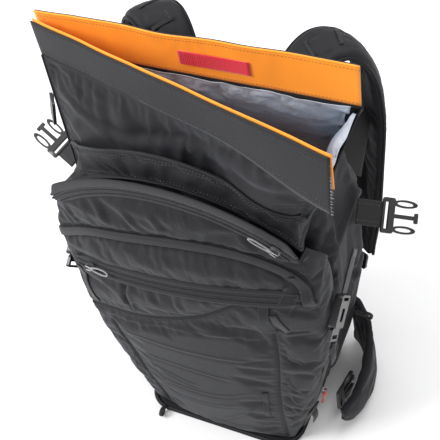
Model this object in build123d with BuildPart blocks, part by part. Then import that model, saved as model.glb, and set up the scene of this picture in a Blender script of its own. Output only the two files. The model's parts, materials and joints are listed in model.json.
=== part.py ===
"""Roll-top avalanche airbag backpack, about 36 litres, modelled as an assembly of separate pieces.

Frame: millimetres, +Z up, +X to the pack's own right when it is seen from its front pockets, -Y towards
the front pockets and +Y towards the wearer. The origin is on the floor, under the middle of the main bag.
"""

import os
from math import asin, cos, hypot, radians, sin

from build123d import *

os.makedirs("parts", exist_ok=True)

# ---------------------------------------------------------------- driving dimensions
BAG_BASE_Z = 6  # underside of the main bag, on top of the base panel
COLLAR_Z = 480  # seam between the main bag and the roll-top collar
BAG_DEPTH = 135
BAG_MID_Y = 7.5
BAG_CORNER = 34
BAG_WIDTHS = ((BAG_BASE_Z, 252), (120, 312), (260, 346), (400, 346), (COLLAR_Z, 306))
FABRIC = 2.5  # sewn fabric wall with its coating and foam backing
LINING = 1.0
GAP = 1.0  # slack between one layer and the next

BAG_FRONT_Y = BAG_MID_Y - BAG_DEPTH / 2
BAG_BACK_Y = BAG_MID_Y + BAG_DEPTH / 2

RIM_LOW_Z = 640  # the stiff bands of the roll-top mouth
RIM_HIGH_Z = 688
WEBBING = 25  # side and sternum webbing
WIDE_WEBBING = 38  # roll-top and hip webbing
WEB_THICK = 1.8


def save(part, name):
    """Labels a finished piece and writes it as parts/NAME.step."""
    part.label = name
    export_step(part, f"parts/{name}.step")


# ---------------------------------------------------------------- main bag
def bag_section(z, width, inset):
    """One rounded rectangle of the bag's cross-section, shrunk by inset all round."""
    with BuildSketch(Plane.XY.offset(z)) as section:
        with Locations((0, BAG_MID_Y)):
            RectangleRounded(width - 2 * inset, BAG_DEPTH - 2 * inset, BAG_CORNER - inset)
    return section.sketch.faces()[0]


def bag_sections(inset, floor=0.0):
    """The bag's sections from the base to the collar seam, with the lowest one raised by floor."""
    first, *others = BAG_WIDTHS
    return [bag_section(z, width, inset) for z, width in ((first[0] + floor, first[1]), *others)]


PORT_X = -90  # where the trigger cable leaves through the back wall
PORT_Z = 462
PORT_R = 5.0

with BuildPart() as main_bag:
    loft(sections=bag_sections(0))
    loft(sections=bag_sections(FABRIC, FABRIC), mode=Mode.SUBTRACT)
    with Locations(Plane((PORT_X, BAG_BACK_Y, PORT_Z), z_dir=(0, 1, 0))):
        Cylinder(PORT_R, 20, mode=Mode.SUBTRACT)

with BuildPart() as bag_lining:
    loft(sections=bag_sections(FABRIC + GAP, FABRIC + GAP))
    loft(sections=bag_sections(FABRIC + GAP + LINING, FABRIC + GAP + LINING), mode=Mode.SUBTRACT)
    with Locations(Plane((PORT_X, BAG_BACK_Y, PORT_Z), z_dir=(0, 1, 0))):
        Cylinder(PORT_R, 20, mode=Mode.SUBTRACT)

# ---------------------------------------------------------------- base panel
BASE_THICK = 5
BASE_WIDTH = 240
BASE_FRONT_Y = -130

with BuildPart() as base_panel:
    with BuildSketch():
        with Locations((0, (BASE_FRONT_Y + BAG_BACK_Y) / 2)):
            RectangleRounded(BASE_WIDTH, BAG_BACK_Y - BASE_FRONT_Y, 34)
    extrude(amount=BASE_THICK)
    chamfer(base_panel.faces().sort_by(Axis.Z)[-1].edges(), 1.5)


# ---------------------------------------------------------------- front pockets
POCKET_BACK_Y = BAG_FRONT_Y - GAP
COLLAR_BOW_Y = -99  # the pocket's top leans on the collar, this far forward
# z, half width, y of the front's middle, how far its corners stand back from that, y of the back
LOWER_POCKET = (
    (BAG_BASE_Z, 115, -129, 12, POCKET_BACK_Y),
    (110, 140, -139, 16, POCKET_BACK_Y),
    (240, 166, -139, 22, POCKET_BACK_Y),
    (318, 174, -135, 26, POCKET_BACK_Y),
)
UPPER_POCKET = (
    (319, 175, -135, 26, POCKET_BACK_Y),
    (390, 176, -134, 26, POCKET_BACK_Y),
    (431, 172, -132, 26, POCKET_BACK_Y),
    (482, 162, -123, 16, COLLAR_BOW_Y),
    (552, 140, -110, 4, COLLAR_BOW_Y),
)
POCKET_CORNER = 8
ROOF_HALF_WIDTH = 172
ROOF_END_Z = 472
ROOF_MID_Z = 546


def pocket_section(z, half_width, front_y, sag, back_y, inset=0.0):
    """A pocket's outline: flat against the bag, with a bowed front and two rounded front corners."""
    corner_y = front_y + sag + inset
    side = half_width - inset
    back = back_y + (GAP if inset else 0)
    with BuildSketch(Plane.XY.offset(z)) as section:
        with BuildLine():
            Polyline((-side, corner_y), (-side, back), (side, back), (side, corner_y))
            ThreePointArc((side, corner_y), (0, front_y + inset), (-side, corner_y))
        make_face()
        fillet(section.vertices().group_by(Axis.Y)[0], min(POCKET_CORNER - inset, (back - corner_y) / 3))
    return section.sketch.faces()[0]


def pocket_sections(levels, inset=0.0, lid=0.0):
    """Lofting sections of a pocket. With an inset they make its hollow, lid below the pocket's top."""
    bottom, *middle, top = levels
    bottom = (bottom[0] + inset, *bottom[1:])
    top = (top[0] - lid, *top[1:])
    return [pocket_section(*level, inset) for level in (bottom, *middle, top)]


with BuildPart() as lower_pocket:
    loft(sections=pocket_sections(LOWER_POCKET), ruled=True)
    loft(sections=pocket_sections(LOWER_POCKET, FABRIC, FABRIC), ruled=True, mode=Mode.SUBTRACT)

# Front view of the room under the upper pocket's arched roof.
with BuildSketch(Plane.XZ) as under_roof:
    with BuildLine():
        Polyline(
            (-ROOF_HALF_WIDTH, ROOF_END_Z),
            (-ROOF_HALF_WIDTH - 20, ROOF_END_Z - 20),
            (-ROOF_HALF_WIDTH - 20, 0),
            (ROOF_HALF_WIDTH + 20, 0),
            (ROOF_HALF_WIDTH + 20, ROOF_END_Z - 20),
            (ROOF_HALF_WIDTH, ROOF_END_Z),
        )
        ThreePointArc((ROOF_HALF_WIDTH, ROOF_END_Z), (0, ROOF_MID_Z), (-ROOF_HALF_WIDTH, ROOF_END_Z))
    make_face()

with BuildPart() as upper_hollow:
    loft(sections=pocket_sections(UPPER_POCKET, FABRIC), ruled=True)
    extrude(Pos(0, 0, -FABRIC) * under_roof.sketch, amount=300, mode=Mode.INTERSECT)

with BuildPart() as upper_pocket:
    loft(sections=pocket_sections(UPPER_POCKET), ruled=True)
    extrude(under_roof.sketch, amount=300, mode=Mode.INTERSECT)
    add(upper_hollow.part, mode=Mode.SUBTRACT)


# ---------------------------------------------------------------- zips on the pockets
ZIP_HEIGHT = 6
ZIP_THICK = 1.6


class ZipArc:
    """A zip along an arc with ends at (-x, y, z) and (x, y, z), turned by climb degrees about +Y."""

    def __init__(self, end, middle, climb=0.0):
        rise = Vector(0, middle[1] - end[1], middle[2] - end[2])
        self.radius = (end[0] ** 2 + rise.length**2) / (2 * rise.length)
        self.half_angle = asin(end[0] / self.radius)
        self.across = Vector(1, 0, 0).rotate(Axis.Y, climb)
        self.up = rise.normalized().rotate(Axis.Y, climb)
        centre = Vector(*middle) - self.up * self.radius
        self.plane = Plane(origin=centre, x_dir=self.across, z_dir=self.across.cross(self.up))

    def band(self, inner, outer):
        """Sketch of the ring sector between two radii, in the arc's own plane."""
        side, top = sin(self.half_angle), cos(self.half_angle)
        with BuildSketch(mode=Mode.PRIVATE) as sector:
            with BuildLine():
                ThreePointArc((-inner * side, inner * top), (0, inner), (inner * side, inner * top))
                Line((inner * side, inner * top), (outer * side, outer * top))
                ThreePointArc((outer * side, outer * top), (0, outer), (-outer * side, outer * top))
                Line((-outer * side, outer * top), (-inner * side, inner * top))
            make_face()
        return sector.sketch

    def frame(self, angle, radius, lift, radial_normal):
        """Frame on the zip, angle degrees from its middle: x along it, z off the fabric, lift above it."""
        a = radians(angle)
        radial = self.across * sin(a) + self.up * cos(a)
        normal = radial if radial_normal else self.plane.z_dir
        origin = self.plane.origin + radial * radius + normal * lift
        return Plane(origin=origin, x_dir=self.across * cos(a) - self.up * sin(a), z_dir=normal)


# Goggle-pocket zip: an arch under the top band, its tape flat against the pocket's front.
goggle_arc = ZipArc(end=(152, -112.5, 477), middle=(0, -117, 537))

with BuildPart() as goggle_zip:
    with BuildSketch(goggle_arc.plane):
        add(goggle_arc.band(goggle_arc.radius - ZIP_HEIGHT / 2, goggle_arc.radius + ZIP_HEIGHT / 2))
    extrude(amount=ZIP_THICK)

# Front-pocket zip: a belt around the pocket's front that climbs to the right.
FRONT_ZIP_CLIMB = -9
front_arc = ZipArc(end=(158, -117, 380), middle=(0, -138, 387), climb=FRONT_ZIP_CLIMB)

with BuildPart() as front_zip:
    with BuildSketch(front_arc.plane.offset(-ZIP_HEIGHT / 2)):
        add(front_arc.band(front_arc.radius, front_arc.radius + ZIP_THICK))
    extrude(amount=ZIP_HEIGHT)

# Tool-pocket zip: straight, up the seam between the lower pocket and the main bag.
TOOL_ZIP_FOOT = Vector(141, -68, 84)
TOOL_ZIP_HEAD = Vector(180, -68, 290)
TOOL_ZIP_LENGTH = (TOOL_ZIP_HEAD - TOOL_ZIP_FOOT).length
TOOL_ZIP_RISE = (TOOL_ZIP_HEAD - TOOL_ZIP_FOOT).normalized()
TOOL_ZIP_PLANE = Plane(origin=TOOL_ZIP_FOOT, x_dir=TOOL_ZIP_RISE, z_dir=Vector(0, 1, 0).cross(TOOL_ZIP_RISE))

with BuildPart() as tool_zip:
    with BuildSketch(TOOL_ZIP_PLANE):
        with Locations((TOOL_ZIP_LENGTH / 2, 0)):
            Rectangle(TOOL_ZIP_LENGTH, ZIP_HEIGHT)
    extrude(amount=ZIP_THICK)


# ---------------------------------------------------------------- zip sliders and their pulls
SLIDER_LENGTH = 13
SLIDER_WIDTH = 9
SLIDER_THICK = 4
BRIDGE_HEIGHT = 3.2
PULL_PIN_X = 0.6  # pull pivot, ahead of the slider's middle
PULL_PIN_LIFT = SLIDER_THICK + 1.7
PULL_TAB = 16
PULL_EYE = 1.4  # how far the pull's eye reaches past its pivot
TAB_MIDDLE = PULL_PIN_X + PULL_EYE - PULL_TAB / 2


def zip_slider(frame):
    """Slider body lying on frame: x along the zip, z away from the tape. A low bridge carries the pull."""
    with BuildPart() as slider:
        with BuildSketch(frame):
            SlotOverall(SLIDER_LENGTH, SLIDER_WIDTH)
        extrude(amount=SLIDER_THICK)
        with BuildSketch(frame.offset(SLIDER_THICK)):
            with GridLocations(0, 5, 1, 2):
                Rectangle(8, 1.4)
        extrude(amount=BRIDGE_HEIGHT)
    return slider.part


def zip_pull(frame, length):
    """Pull that hangs from the slider's bridge along -x of frame: an eye, a tab and a loop of cord."""
    with BuildPart() as pull:
        with BuildSketch(frame.offset(PULL_PIN_LIFT - 0.8)):
            with Locations((TAB_MIDDLE, 0)):
                RectangleRounded(PULL_TAB, 2.8, 1.2)
            with Locations((-12 - length / 2, 0)):
                Ellipse(length / 2, 5)
                Ellipse(length / 2 - 2, 3, mode=Mode.SUBTRACT)
        extrude(amount=1.6)
    return pull.part


SLIDER_LIFT = ZIP_THICK + 0.6

GOGGLE_REST = 37  # degrees from the arc's middle to the parked slider
goggle_frame = goggle_arc.frame(GOGGLE_REST, goggle_arc.radius, SLIDER_LIFT, radial_normal=False)
goggle_slider = zip_slider(goggle_frame)
goggle_pull = zip_pull(goggle_frame, 22)

FRONT_REST = -13
front_frame = front_arc.frame(FRONT_REST, front_arc.radius, SLIDER_LIFT, radial_normal=True)
front_slider = zip_slider(front_frame)
front_pull = zip_pull(
    Plane(origin=front_frame.origin, x_dir=-front_frame.x_dir, z_dir=front_frame.z_dir), 22
)

tool_frame = Plane(
    origin=TOOL_ZIP_FOOT + TOOL_ZIP_RISE * 8 + TOOL_ZIP_PLANE.z_dir * SLIDER_LIFT,
    x_dir=TOOL_ZIP_RISE,
    z_dir=TOOL_ZIP_PLANE.z_dir,
)
tool_slider = zip_slider(tool_frame)

# The tool pocket opens with a bundle of three bright cord loops.
TOOL_CORD_LENGTH = 46
CORD_PITCH = 5.7
tool_pull_plane = tool_frame.offset(PULL_PIN_LIFT - 0.8)

with BuildPart() as tool_pull:
    with BuildSketch(tool_pull_plane):
        with Locations((TAB_MIDDLE, 0)):
            RectangleRounded(PULL_TAB, 2.8, 1.2)
        with Locations((-12, 0)):
            RectangleRounded(5, 16, 2)
        with Locations(Location((-11 - TOOL_CORD_LENGTH / 2, 0))):
            with GridLocations(0, CORD_PITCH, 1, 3):
                Ellipse(TOOL_CORD_LENGTH / 2, 2.7)
                Ellipse(TOOL_CORD_LENGTH / 2 - 2, 1.0, mode=Mode.SUBTRACT)
    extrude(amount=2)


# ---------------------------------------------------------------- top band across the front of the collar
BAND_HEIGHT = 38
BAND_END = (134, -97, 501)
BAND_MID_Y = -101
BAND_MID_Z = 550
band_plan = ZipArc(end=(BAND_END[0], BAND_END[1], 0), middle=(0, BAND_MID_Y, 0))

with BuildPart() as top_band:
    with BuildSketch(band_plan.plane.offset(-BAND_MID_Z - 2 * BAND_HEIGHT)):
        add(band_plan.band(band_plan.radius - FABRIC, band_plan.radius))
    extrude(amount=3 * BAND_HEIGHT + BAND_MID_Z - BAND_END[2])
    with BuildSketch(Plane.XZ):
        with BuildLine():
            ThreePointArc((-BAND_END[0], BAND_END[2]), (0, BAND_MID_Z), (BAND_END[0], BAND_END[2]))
            Line((BAND_END[0], BAND_END[2]), (BAND_END[0], BAND_END[2] + BAND_HEIGHT))
            ThreePointArc(
                (BAND_END[0], BAND_END[2] + BAND_HEIGHT),
                (0, BAND_MID_Z + BAND_HEIGHT),
                (-BAND_END[0], BAND_END[2] + BAND_HEIGHT),
            )
            Line((-BAND_END[0], BAND_END[2] + BAND_HEIGHT), (-BAND_END[0], BAND_END[2]))
        make_face()
    extrude(amount=200, mode=Mode.INTERSECT)


# ---------------------------------------------------------------- roll-top collar
def upright_panel(low_z, low_line, high_z, high_line, thickness):
    """A flat panel between two plan lines, low_line at low_z and high_line at high_z."""
    faces = []
    for z, ((x1, y1), (x2, y2)) in ((low_z, low_line), (high_z, high_line)):
        length = hypot(x2 - x1, y2 - y1)
        nx, ny = -(y2 - y1) / length * thickness, (x2 - x1) / length * thickness
        with BuildSketch(Plane.XY.offset(z)) as edge:
            with BuildLine():
                Polyline((x1, y1), (x2, y2), (x2 + nx, y2 + ny), (x1 + nx, y1 + ny), close=True)
            make_face()
        faces.append(edge.sketch.faces()[0])
    with BuildPart() as panel:
        loft(sections=faces, ruled=True)
    return panel.part


COLLAR_FOOT_Z = COLLAR_Z + GAP
COLLAR_HEAD_Z = RIM_LOW_Z - 2
HINGE_X, HINGE_Y = -162, -37  # left corner of the mouth, about which the front rim swings
FRONT_RIM_END = (212, -132)
BACK_RIM_START = (-160, -27)
BACK_RIM_END = (204, -20)
COLLAR_FOOT_X = 144  # half width of the collar's front where it leaves the bag
COLLAR_FOOT_Y = -64
COLLAR_FOOT_MID_Y = -90
COLLAR_HEAD_LEFT = (HINGE_X + 4, HINGE_Y - 1)
COLLAR_HEAD_RIGHT = (FRONT_RIM_END[0] - 8, FRONT_RIM_END[1] + 2)

with BuildPart() as collar_front:
    with BuildSketch(Plane.XY.offset(COLLAR_FOOT_Z)) as collar_foot:
        with BuildLine():
            outer_foot = ThreePointArc(
                (-COLLAR_FOOT_X, COLLAR_FOOT_Y), (0, COLLAR_FOOT_MID_Y), (COLLAR_FOOT_X, COLLAR_FOOT_Y)
            )
            inner_foot = ThreePointArc(
                (COLLAR_FOOT_X, COLLAR_FOOT_Y + FABRIC),
                (0, COLLAR_FOOT_MID_Y + FABRIC),
                (-COLLAR_FOOT_X, COLLAR_FOOT_Y + FABRIC),
            )
            Line(outer_foot @ 1, inner_foot @ 0)
            Line(inner_foot @ 1, outer_foot @ 0)
        make_face()
    with BuildSketch(Plane.XY.offset(COLLAR_HEAD_Z)):
        with BuildLine():
            Polyline(
                COLLAR_HEAD_LEFT,
                COLLAR_HEAD_RIGHT,
                (COLLAR_HEAD_RIGHT[0], COLLAR_HEAD_RIGHT[1] + FABRIC),
                (COLLAR_HEAD_LEFT[0], COLLAR_HEAD_LEFT[1] + FABRIC),
                close=True,
            )
        make_face()
    loft(ruled=True)

# Plan lines of the other three sides, at the collar's foot and at its head.
BACK_FOOT, BACK_HEAD = ((-142, 68), (142, 68)), ((-156, -26), (200, -19))
LEFT_FOOT, LEFT_HEAD = ((-147, 64), (-147, -58)), ((-163, -24), (-163, -31))
RIGHT_FOOT, RIGHT_HEAD = ((147, -58), (147, 64)), ((207, -122), (205, -24))
collar_back = upright_panel(COLLAR_FOOT_Z, BACK_FOOT, COLLAR_HEAD_Z, BACK_HEAD, FABRIC)
gusset_left = upright_panel(COLLAR_FOOT_Z, LEFT_FOOT, COLLAR_HEAD_Z, LEFT_HEAD, FABRIC)
gusset_right = upright_panel(COLLAR_FOOT_Z, RIGHT_FOOT, COLLAR_HEAD_Z, RIGHT_HEAD, FABRIC)


def rim_layer(start, end, near, thickness, low_z=RIM_LOW_Z, high_z=RIM_HIGH_Z, span=(0.0, 1.0)):
    """An upright strip along the mouth from start to end, standing near mm behind that line."""
    direction = Vector(end[0] - start[0], end[1] - start[1], 0)
    length = direction.length
    frame = Plane(origin=(start[0], start[1], low_z), x_dir=direction, z_dir=(0, 0, 1))
    with BuildPart() as layer:
        with BuildSketch(frame):
            with Locations((length * sum(span) / 2, near + thickness / 2)):
                Rectangle(length * (span[1] - span[0]), thickness)
        extrude(amount=high_z - low_z)
    return layer.part


FRONT_RIM = ((HINGE_X, HINGE_Y), FRONT_RIM_END)
BACK_RIM = (BACK_RIM_START, BACK_RIM_END)
BACK_RIM_HIGH_Z = RIM_HIGH_Z + 6
RIM_BAND = 1.6
RIM_FACING = 1.2
STIFFENER = 1.0
LAYER_GAP = 0.3
stiffener_near = RIM_BAND + LAYER_GAP
facing_near = stiffener_near + STIFFENER + LAYER_GAP
front_rim_band = rim_layer(*FRONT_RIM, 0.0, RIM_BAND)
front_rim_stiffener = rim_layer(
    *FRONT_RIM, stiffener_near, STIFFENER, RIM_LOW_Z + 8, RIM_HIGH_Z - 4, span=(0.02, 0.98)
)
front_rim_facing = rim_layer(*FRONT_RIM, facing_near, RIM_FACING)
back_rim_facing = rim_layer(*BACK_RIM, 0.0, RIM_FACING, high_z=BACK_RIM_HIGH_Z)
back_rim_band = rim_layer(*BACK_RIM, RIM_FACING + LAYER_GAP, RIM_BAND, high_z=BACK_RIM_HIGH_Z)
hook_patch = rim_layer(
    *BACK_RIM, -RIM_FACING - LAYER_GAP, RIM_FACING, RIM_LOW_Z + 16, RIM_LOW_Z + 34, span=(0.46, 0.68)
)


# ---------------------------------------------------------------- back panel and frame
PANEL_Z = 236  # middle of the back panel
SHEET_Y = BAG_BACK_Y + 0.5
SHEET_THICK = 1.5
with BuildPart() as frame_sheet:
    with BuildSketch(Plane.XZ.offset(-SHEET_Y)):
        with Locations((0, PANEL_Z)):
            RectangleRounded(196, 420, 30)
    extrude(amount=-SHEET_THICK)

STAY_X = 52
STAY_THICK = 3
STAY_Y = SHEET_Y + SHEET_THICK + 0.5
with BuildPart() as frame_stays:
    with BuildSketch(Plane.XZ.offset(-STAY_Y)):
        with Locations((0, PANEL_Z)):
            with GridLocations(2 * STAY_X, 0, 2, 1):
                RectangleRounded(14, 400, 3)
    extrude(amount=-STAY_THICK)

# The back pad is a thin carrier with two long cushions and one across the hips.
PAD_Y = STAY_Y + STAY_THICK + 0.5
PAD_CARRIER = 5
CUSHION_THICK = 12
CUSHION_EDGE_SLOPE = 8  # degrees
with BuildPart() as back_pad:
    with BuildSketch(Plane.XZ.offset(-PAD_Y)):
        with Locations((0, PANEL_Z)):
            RectangleRounded(220, 440, 36)
    extrude(amount=-PAD_CARRIER)
    with BuildSketch(Plane.XZ.offset(-(PAD_Y + PAD_CARRIER))):
        with Locations((0, 290)):
            with GridLocations(116, 0, 2, 1):
                RectangleRounded(78, 300, 26)
        with Locations((0, 82)):
            RectangleRounded(190, 96, 28)
    extrude(amount=-CUSHION_THICK, taper=CUSHION_EDGE_SLOPE)

# Webbing yoke that the shoulder straps are sewn to.
YOKE_Z = 475
with BuildPart() as shoulder_yoke:
    with BuildSketch(Plane.XZ.offset(-(PAD_Y + 0.5))):
        with Locations((0, YOKE_Z)):
            RectangleRounded(230, 18, 6)
    extrude(amount=-4)
    fillet(shoulder_yoke.faces().sort_by(Axis.Y)[-1].edges(), 1)


# ---------------------------------------------------------------- shoulder harness
STRAP_WIDTH = 62
STRAP_THICK = 13
# Points down the middle of the right strap, with the direction that its width lies in.
STRAP_PATH = (
    ((76, 98, 492), (1.0, 0.0)),
    ((84, 108, 532), (0.96, -0.2)),
    ((104, 124, 562), (0.85, -0.5)),
    ((130, 140, 560), (0.75, -0.66)),
    ((148, 150, 520), (0.75, -0.66)),
    ((154, 152, 450), (0.8, -0.6)),
    ((152, 148, 360), (0.8, -0.6)),
    ((147, 139, 270), (0.85, -0.5)),
    ((142, 124, 186), (0.9, -0.4)),
)


def strap_plane(index):
    """Cross-section plane of the right strap at one of its points: x across the strap, z down it."""
    before = STRAP_PATH[max(index - 1, 0)][0]
    point, across = STRAP_PATH[index]
    after = STRAP_PATH[min(index + 1, len(STRAP_PATH) - 1)][0]
    tangent = (Vector(*after) - Vector(*before)).normalized()
    width = Vector(across[0], across[1], 0)
    return Plane(origin=point, x_dir=width - tangent * width.dot(tangent), z_dir=tangent)


with BuildPart() as shoulder_pad_right:
    for point_index in range(len(STRAP_PATH)):
        with BuildSketch(strap_plane(point_index)):
            RectangleRounded(STRAP_WIDTH, STRAP_THICK, 5)
    loft(ruled=True)
shoulder_pad_left = mirror(shoulder_pad_right.part, about=Plane.YZ)


def ladder_lock(frame, webbing):
    """Plate with two webbing slots and a raised grip edge; x of frame is the pulling direction."""
    with BuildPart() as lock:
        with BuildSketch(frame):
            RectangleRounded(26, webbing + 11, 4)
            with GridLocations(11, 0, 2, 1):
                SlotOverall(webbing + 2, 4, rotation=90, mode=Mode.SUBTRACT)
        extrude(amount=2, both=True)
        with BuildSketch(frame.offset(2)):
            with Locations((11.4, 0)):
                Rectangle(3, webbing + 2)
        extrude(amount=1.6)
    return lock.part


# Ladder-lock at the foot of each pad, and the webbing that runs from it to the foot of the bag.
LOCK_RIGHT = Plane(origin=(140, 117, 166), x_dir=(-0.08, -0.3, -0.95), z_dir=(0.4, 0.87, -0.3))
shoulder_lock_right = ladder_lock(LOCK_RIGHT, WEBBING)
shoulder_lock_left = mirror(shoulder_lock_right, about=Plane.YZ)


def webbing_between(start, end, across, width):
    """Flat webbing straight from start to end, with its width along across."""
    run = Vector(*end) - Vector(*start)
    frame = Plane(origin=start, x_dir=run, z_dir=run.cross(Vector(*across)))
    with BuildPart() as webbing:
        with BuildSketch(frame):
            with Locations((run.length / 2, 0)):
                Rectangle(run.length, width)
        extrude(amount=WEB_THICK / 2, both=True)
    return webbing.part


lower_web_right = webbing_between((138, 112, 150), (126, 86, 48), (0.9, -0.4, 0.0), WEBBING)
lower_web_left = mirror(lower_web_right, about=Plane.YZ)

# Haul loop between the shoulder straps.
HAUL_HALF_WIDTH = 26
HAUL_FOOT_Z = 487
HAUL_ROUND_Z = 500
HAUL_TOP_Z = 528
HAUL_CORD = 3
HAUL_WEBBING = 22
with BuildPart() as haul_loop:
    with BuildSketch(Plane.XZ.offset(-(PAD_Y + 0.8))) as loop_face:
        with BuildLine():
            left_leg = Line((-HAUL_HALF_WIDTH, HAUL_FOOT_Z), (-HAUL_HALF_WIDTH, HAUL_ROUND_Z))
            crown = ThreePointArc(left_leg @ 1, (0, HAUL_TOP_Z), (HAUL_HALF_WIDTH, HAUL_ROUND_Z))
            Line(crown @ 1, (HAUL_HALF_WIDTH, HAUL_FOOT_Z))
            offset(amount=HAUL_CORD, side=Side.LEFT)
        make_face()
    extrude(amount=-HAUL_WEBBING)


# Sternum strap: a slider on each pad's chest part, with half of the strap on each.
CHEST = Plane(origin=(154, 151, 430), x_dir=(-0.8, 0.6, 0.0), z_dir=(0.6, 0.8, 0.03))
CHEST_LIFT = STRAP_THICK / 2 + 3.5
STERNUM_WEB = 20

# The strap hangs inwards and down from its slider.
STERNUM = Plane(origin=CHEST.offset(CHEST_LIFT + 5).origin, x_dir=(-0.75, 0.35, -0.56), z_dir=(0.42, 0.9, 0))

with BuildPart() as sternum_half_right:
    with BuildSketch(CHEST.offset(CHEST_LIFT)):
        RectangleRounded(30, 34, 3)
    extrude(amount=3)
    with BuildSketch(STERNUM):
        with Locations((28, 0)):
            Rectangle(58, STERNUM_WEB)
    extrude(amount=WEB_THICK / 2, both=True)
    with BuildSketch(CHEST.offset(CHEST_LIFT + 2)):
        RectangleRounded(14, 24, 3)
    extrude(amount=4)
sternum_half_left = mirror(sternum_half_right.part, about=Plane.YZ)


# ---------------------------------------------------------------- side-release buckles
BUCKLE_THICK = 4.2
BUCKLE_MOUTH = 17  # distance from the male frame's end to the housing's mouth when clipped
HOUSING_LENGTH = 42


def buckle_male(frame, webbing):
    """Male half, pointing along +x of frame: webbing frame, centre tongue and two looped prongs."""
    prong_y = webbing / 2
    with BuildPart() as male:
        with BuildSketch(frame):
            with Locations((8, 0)):
                RectangleRounded(16, webbing + 12, 3)
            with Locations((5.5, 0)):
                Rectangle(5, webbing + 1, mode=Mode.SUBTRACT)
            with Locations((30, 0)):
                Rectangle(32, 5)
            with Locations((46, 0)):
                RectangleRounded(4, 13, 1.6)
            with Locations((30, prong_y), (30, -prong_y)):
                Ellipse(16, 5)
                Ellipse(11.5, 2.4, mode=Mode.SUBTRACT)
        extrude(amount=BUCKLE_THICK / 2, both=True)
    return male.part


def buckle_female(frame, webbing):
    """Female housing in the male's frame, as it sits when the two are clipped."""
    length = HOUSING_LENGTH
    middle = BUCKLE_MOUTH + length / 2
    with BuildPart() as female:
        with BuildSketch(frame):
            with Locations((middle, 0)):
                RectangleRounded(length, webbing + 19, 5)
        extrude(amount=5, both=True)
        with BuildSketch(frame):
            with Locations((BUCKLE_MOUTH + 15.5, 0)):
                Rectangle(33, webbing + 12)
        extrude(amount=2.7, both=True, mode=Mode.SUBTRACT)
        with BuildSketch(frame):
            with Locations((BUCKLE_MOUTH + 17, 0)):
                RectangleRounded(17, 15, 3)
        extrude(amount=6, mode=Mode.SUBTRACT)
        with BuildSketch(frame):
            with Locations((BUCKLE_MOUTH + 37, 0)):
                Rectangle(4, webbing + 1)
        extrude(amount=6, both=True, mode=Mode.SUBTRACT)
    return female.part


def flat_strap(frame, start_x, end_x, width):
    """Straight webbing along x of frame."""
    with BuildPart() as strap:
        with BuildSketch(frame):
            with Locations(((start_x + end_x) / 2, 0)):
                Rectangle(end_x - start_x, width)
        extrude(amount=WEB_THICK / 2, both=True)
    return strap.part


def moved_along(frame, distance):
    """The same frame, distance further along its own x."""
    return Plane(origin=frame.origin + frame.x_dir * distance, x_dir=frame.x_dir, z_dir=frame.z_dir)


def reversed_frame(frame, distance):
    """A frame distance along x that looks back along it."""
    return Plane(origin=frame.origin + frame.x_dir * distance, x_dir=-frame.x_dir, z_dir=frame.z_dir)


STITCH_GAP = 0.4  # webbing stops this far short of the buckle that it is looped through
HOUSING_END = BUCKLE_MOUTH + HOUSING_LENGTH

# Side compression straps: the male half is in front and its housing behind, clipped together.
COMPRESSION = Plane(origin=(184, -104, 304), x_dir=(0, 0.83, 0.56), z_dir=(1, 0, 0))
compression_male_right = buckle_male(COMPRESSION, WEBBING)
compression_male_left = mirror(compression_male_right, about=Plane.YZ)
compression_housing = buckle_female(COMPRESSION, WEBBING)
compression_strap = flat_strap(
    COMPRESSION, HOUSING_END + STITCH_GAP, HOUSING_END + 58, WEBBING
)
compression_housings = Compound([compression_housing, mirror(compression_housing, about=Plane.YZ)])
compression_straps = Compound([compression_strap, mirror(compression_strap, about=Plane.YZ)])

# Roll-top closure straps, hanging open: each carries a male half.
CLOSURE_RIGHT = Plane(origin=(178, 20, 409), x_dir=(0.8, 0.42, -0.42), z_dir=(0.57, -0.39, 0.71))
CLOSURE_LENGTH = 34
CLOSURE_WEBBING = 32
closure_strap_right = flat_strap(CLOSURE_RIGHT, 0, CLOSURE_LENGTH - STITCH_GAP, CLOSURE_WEBBING)
closure_male_right = buckle_male(moved_along(CLOSURE_RIGHT, CLOSURE_LENGTH), CLOSURE_WEBBING)

CLOSURE_LEFT = Plane(origin=(-184, -20, 432), x_dir=(-0.82, 0.5, -0.28), z_dir=(0.1, -0.38, 0.92))
CLOSURE_LEFT_LENGTH = 26
closure_strap_left = flat_strap(CLOSURE_LEFT, 0, CLOSURE_LEFT_LENGTH - STITCH_GAP, WEBBING)
closure_male_left = buckle_male(moved_along(CLOSURE_LEFT, CLOSURE_LEFT_LENGTH), WEBBING)
closure_ladder = ladder_lock(
    Plane(origin=(-206, -6, 508), x_dir=(-0.6, 0.75, 0), z_dir=(0.75, 0.6, -0.2)), WEBBING
)

# Sternum buckle halves, on the ends of the two chest straps.
sternum_tip = moved_along(STERNUM, 57 + STITCH_GAP)
sternum_male_right = buckle_male(sternum_tip, STERNUM_WEB)
sternum_male = mirror(sternum_male_right, about=Plane.YZ)
sternum_female = buckle_female(reversed_frame(sternum_tip, HOUSING_END), STERNUM_WEB)

# ---------------------------------------------------------------- hip belt
HIP_ROOT = (148, 82)
HIP_SIDE = (197, 12)
HIP_TIP = (180, -78)
HIP_THICK = 12
HIP_LOW_Z = 8
HIP_BACK_Y = 110
HIP_BACK_TOP = (HIP_BACK_Y, 118)
HIP_CREST = (50, 124)
HIP_WAIST = (0, 108)
HIP_FRONT_TOP = (-56, 66)
HIP_NOSE = (-78, 34)
HIP_FRONT_LOW = (-46, HIP_LOW_Z)

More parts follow.
